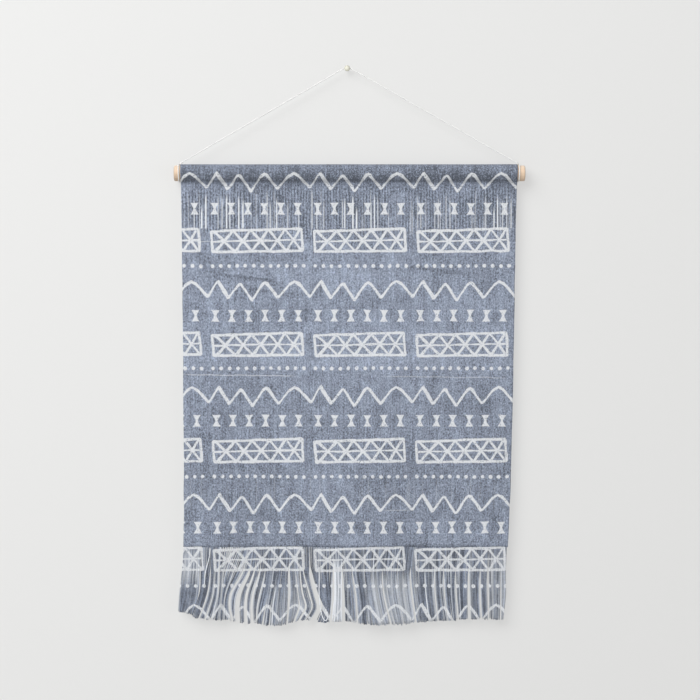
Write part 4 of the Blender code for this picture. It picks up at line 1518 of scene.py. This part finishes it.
class HANGING_OT_dowel(Operator):
    """Makes the turned wooden dowel"""

    bl_idname = "hanging.dowel"
    bl_label = "Dowel"

    def execute(self, context):
        settings = context.scene.hanging_dowel
        angle = np.radians(np.linspace(0.0, 90.0, 9))
        half = DOWEL_LENGTH / 2
        along = half - DOWEL_EASE + DOWEL_EASE * np.cos(angle)
        radius = DOWEL_RADIUS - DOWEL_EASE + DOWEL_EASE * np.sin(angle)
        inner = np.linspace(0.0, DOWEL_RADIUS - DOWEL_EASE, 5)[:-1]
        end = np.concatenate([vectors(half, inner), vectors(along, radius)])
        start = end * np.array((-1.0, 1.0))
        body = vectors(np.linspace(-half + 0.01, half - 0.01, 40), DOWEL_RADIUS)
        profile = np.concatenate([start, body, end[::-1]])
        points = turned_points(profile, settings.sides) + np.array((DOWEL_X, DOWEL_Y, DOWEL_Z))
        faces = grid_faces(len(profile), settings.sides, closed=True)
        dowel = add_piece("turned_dowel", points, faces, wood_finish(settings))
        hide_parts("dowel")
        return {"FINISHED"}


class HANGING_OT_nail(Operator):
    """Makes the domed brass nail"""

    bl_idname = "hanging.nail"
    bl_label = "Nail"

    def execute(self, context):
        settings = context.scene.hanging_nail
        angle = np.radians(np.linspace(0.0, 90.0, 13))
        rim = NAIL_STANDOFF + NAIL_RIM
        shank = [(0.0, 0.0), (0.0, NAIL_SHANK_RADIUS), (NAIL_STANDOFF - 0.0006, NAIL_SHANK_RADIUS)]
        under = [(NAIL_STANDOFF, NAIL_SHANK_RADIUS * 1.5), (NAIL_STANDOFF, NAIL_HEAD_RADIUS * 0.93),
                 (NAIL_STANDOFF + 0.0002, NAIL_HEAD_RADIUS)]
        dome = vectors(rim + NAIL_DOME * np.sin(angle), NAIL_HEAD_RADIUS * np.cos(angle))
        profile = np.concatenate([shank, under, dome])
        rings = turned_points(profile, settings.sides)
        points = vectors(rings[..., 1], -rings[..., 0], rings[..., 2])
        faces = grid_faces(len(profile), settings.sides, closed=True)
        nail = add_piece("picture_nail", points, faces, brass_finish(settings))
        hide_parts("nail")
        return {"FINISHED"}


class HANGING_PT_panel(Panel):
    """Lists the pieces of the wall hanging"""

    bl_idname = "HANGING_PT_panel"
    bl_label = "Wall hanging"
    bl_space_type = "VIEW_3D"
    bl_region_type = "UI"
    bl_category = "Hanging"

    def draw(self, context):
        for operator, name, _ in STEPS:
            box = self.layout.box()
            box.operator(operator.bl_idname)
            group = getattr(context.scene, name)
            for setting in group.__annotations__:
                box.prop(group, setting)


# The steps in the order in which the scene is made, each with its settings
STEPS = (
    (HANGING_OT_stage, "hanging_stage", StageSettings),
    (HANGING_OT_cord, "hanging_cord", CordSettings),
    (HANGING_OT_fringe, "hanging_fringe", FringeSettings),
    (HANGING_OT_seam, "hanging_cloth", ClothSettings),
    (HANGING_OT_cloth, "hanging_cloth", ClothSettings),
    (HANGING_OT_dowel, "hanging_dowel", DowelSettings),
    (HANGING_OT_nail, "hanging_nail", NailSettings),
)
GROUPS = {name: group for _, name, group in STEPS}


def register():
    """Registers the settings, the operators and the panel."""
    for name, group in GROUPS.items():
        bpy.utils.register_class(group)
        setattr(bpy.types.Scene, name, PointerProperty(type=group))
    for operator, _, _ in STEPS:
        bpy.utils.register_class(operator)
    bpy.utils.register_class(HANGING_PT_panel)


def unregister():
    """Takes away what register added."""
    bpy.utils.unregister_class(HANGING_PT_panel)
    for operator, _, _ in reversed(STEPS):
        bpy.utils.unregister_class(operator)
    for name, group in reversed(GROUPS.items()):
        delattr(bpy.types.Scene, name)
        bpy.utils.unregister_class(group)


def main():
    register()
    bpy.ops.hanging.stage()
    bpy.ops.hanging.cord()
    bpy.ops.hanging.fringe()
    bpy.ops.hanging.seam()
    bpy.ops.hanging.cloth()
    bpy.ops.hanging.dowel()
    bpy.ops.hanging.nail()


if __name__ == "__main__":
    main()
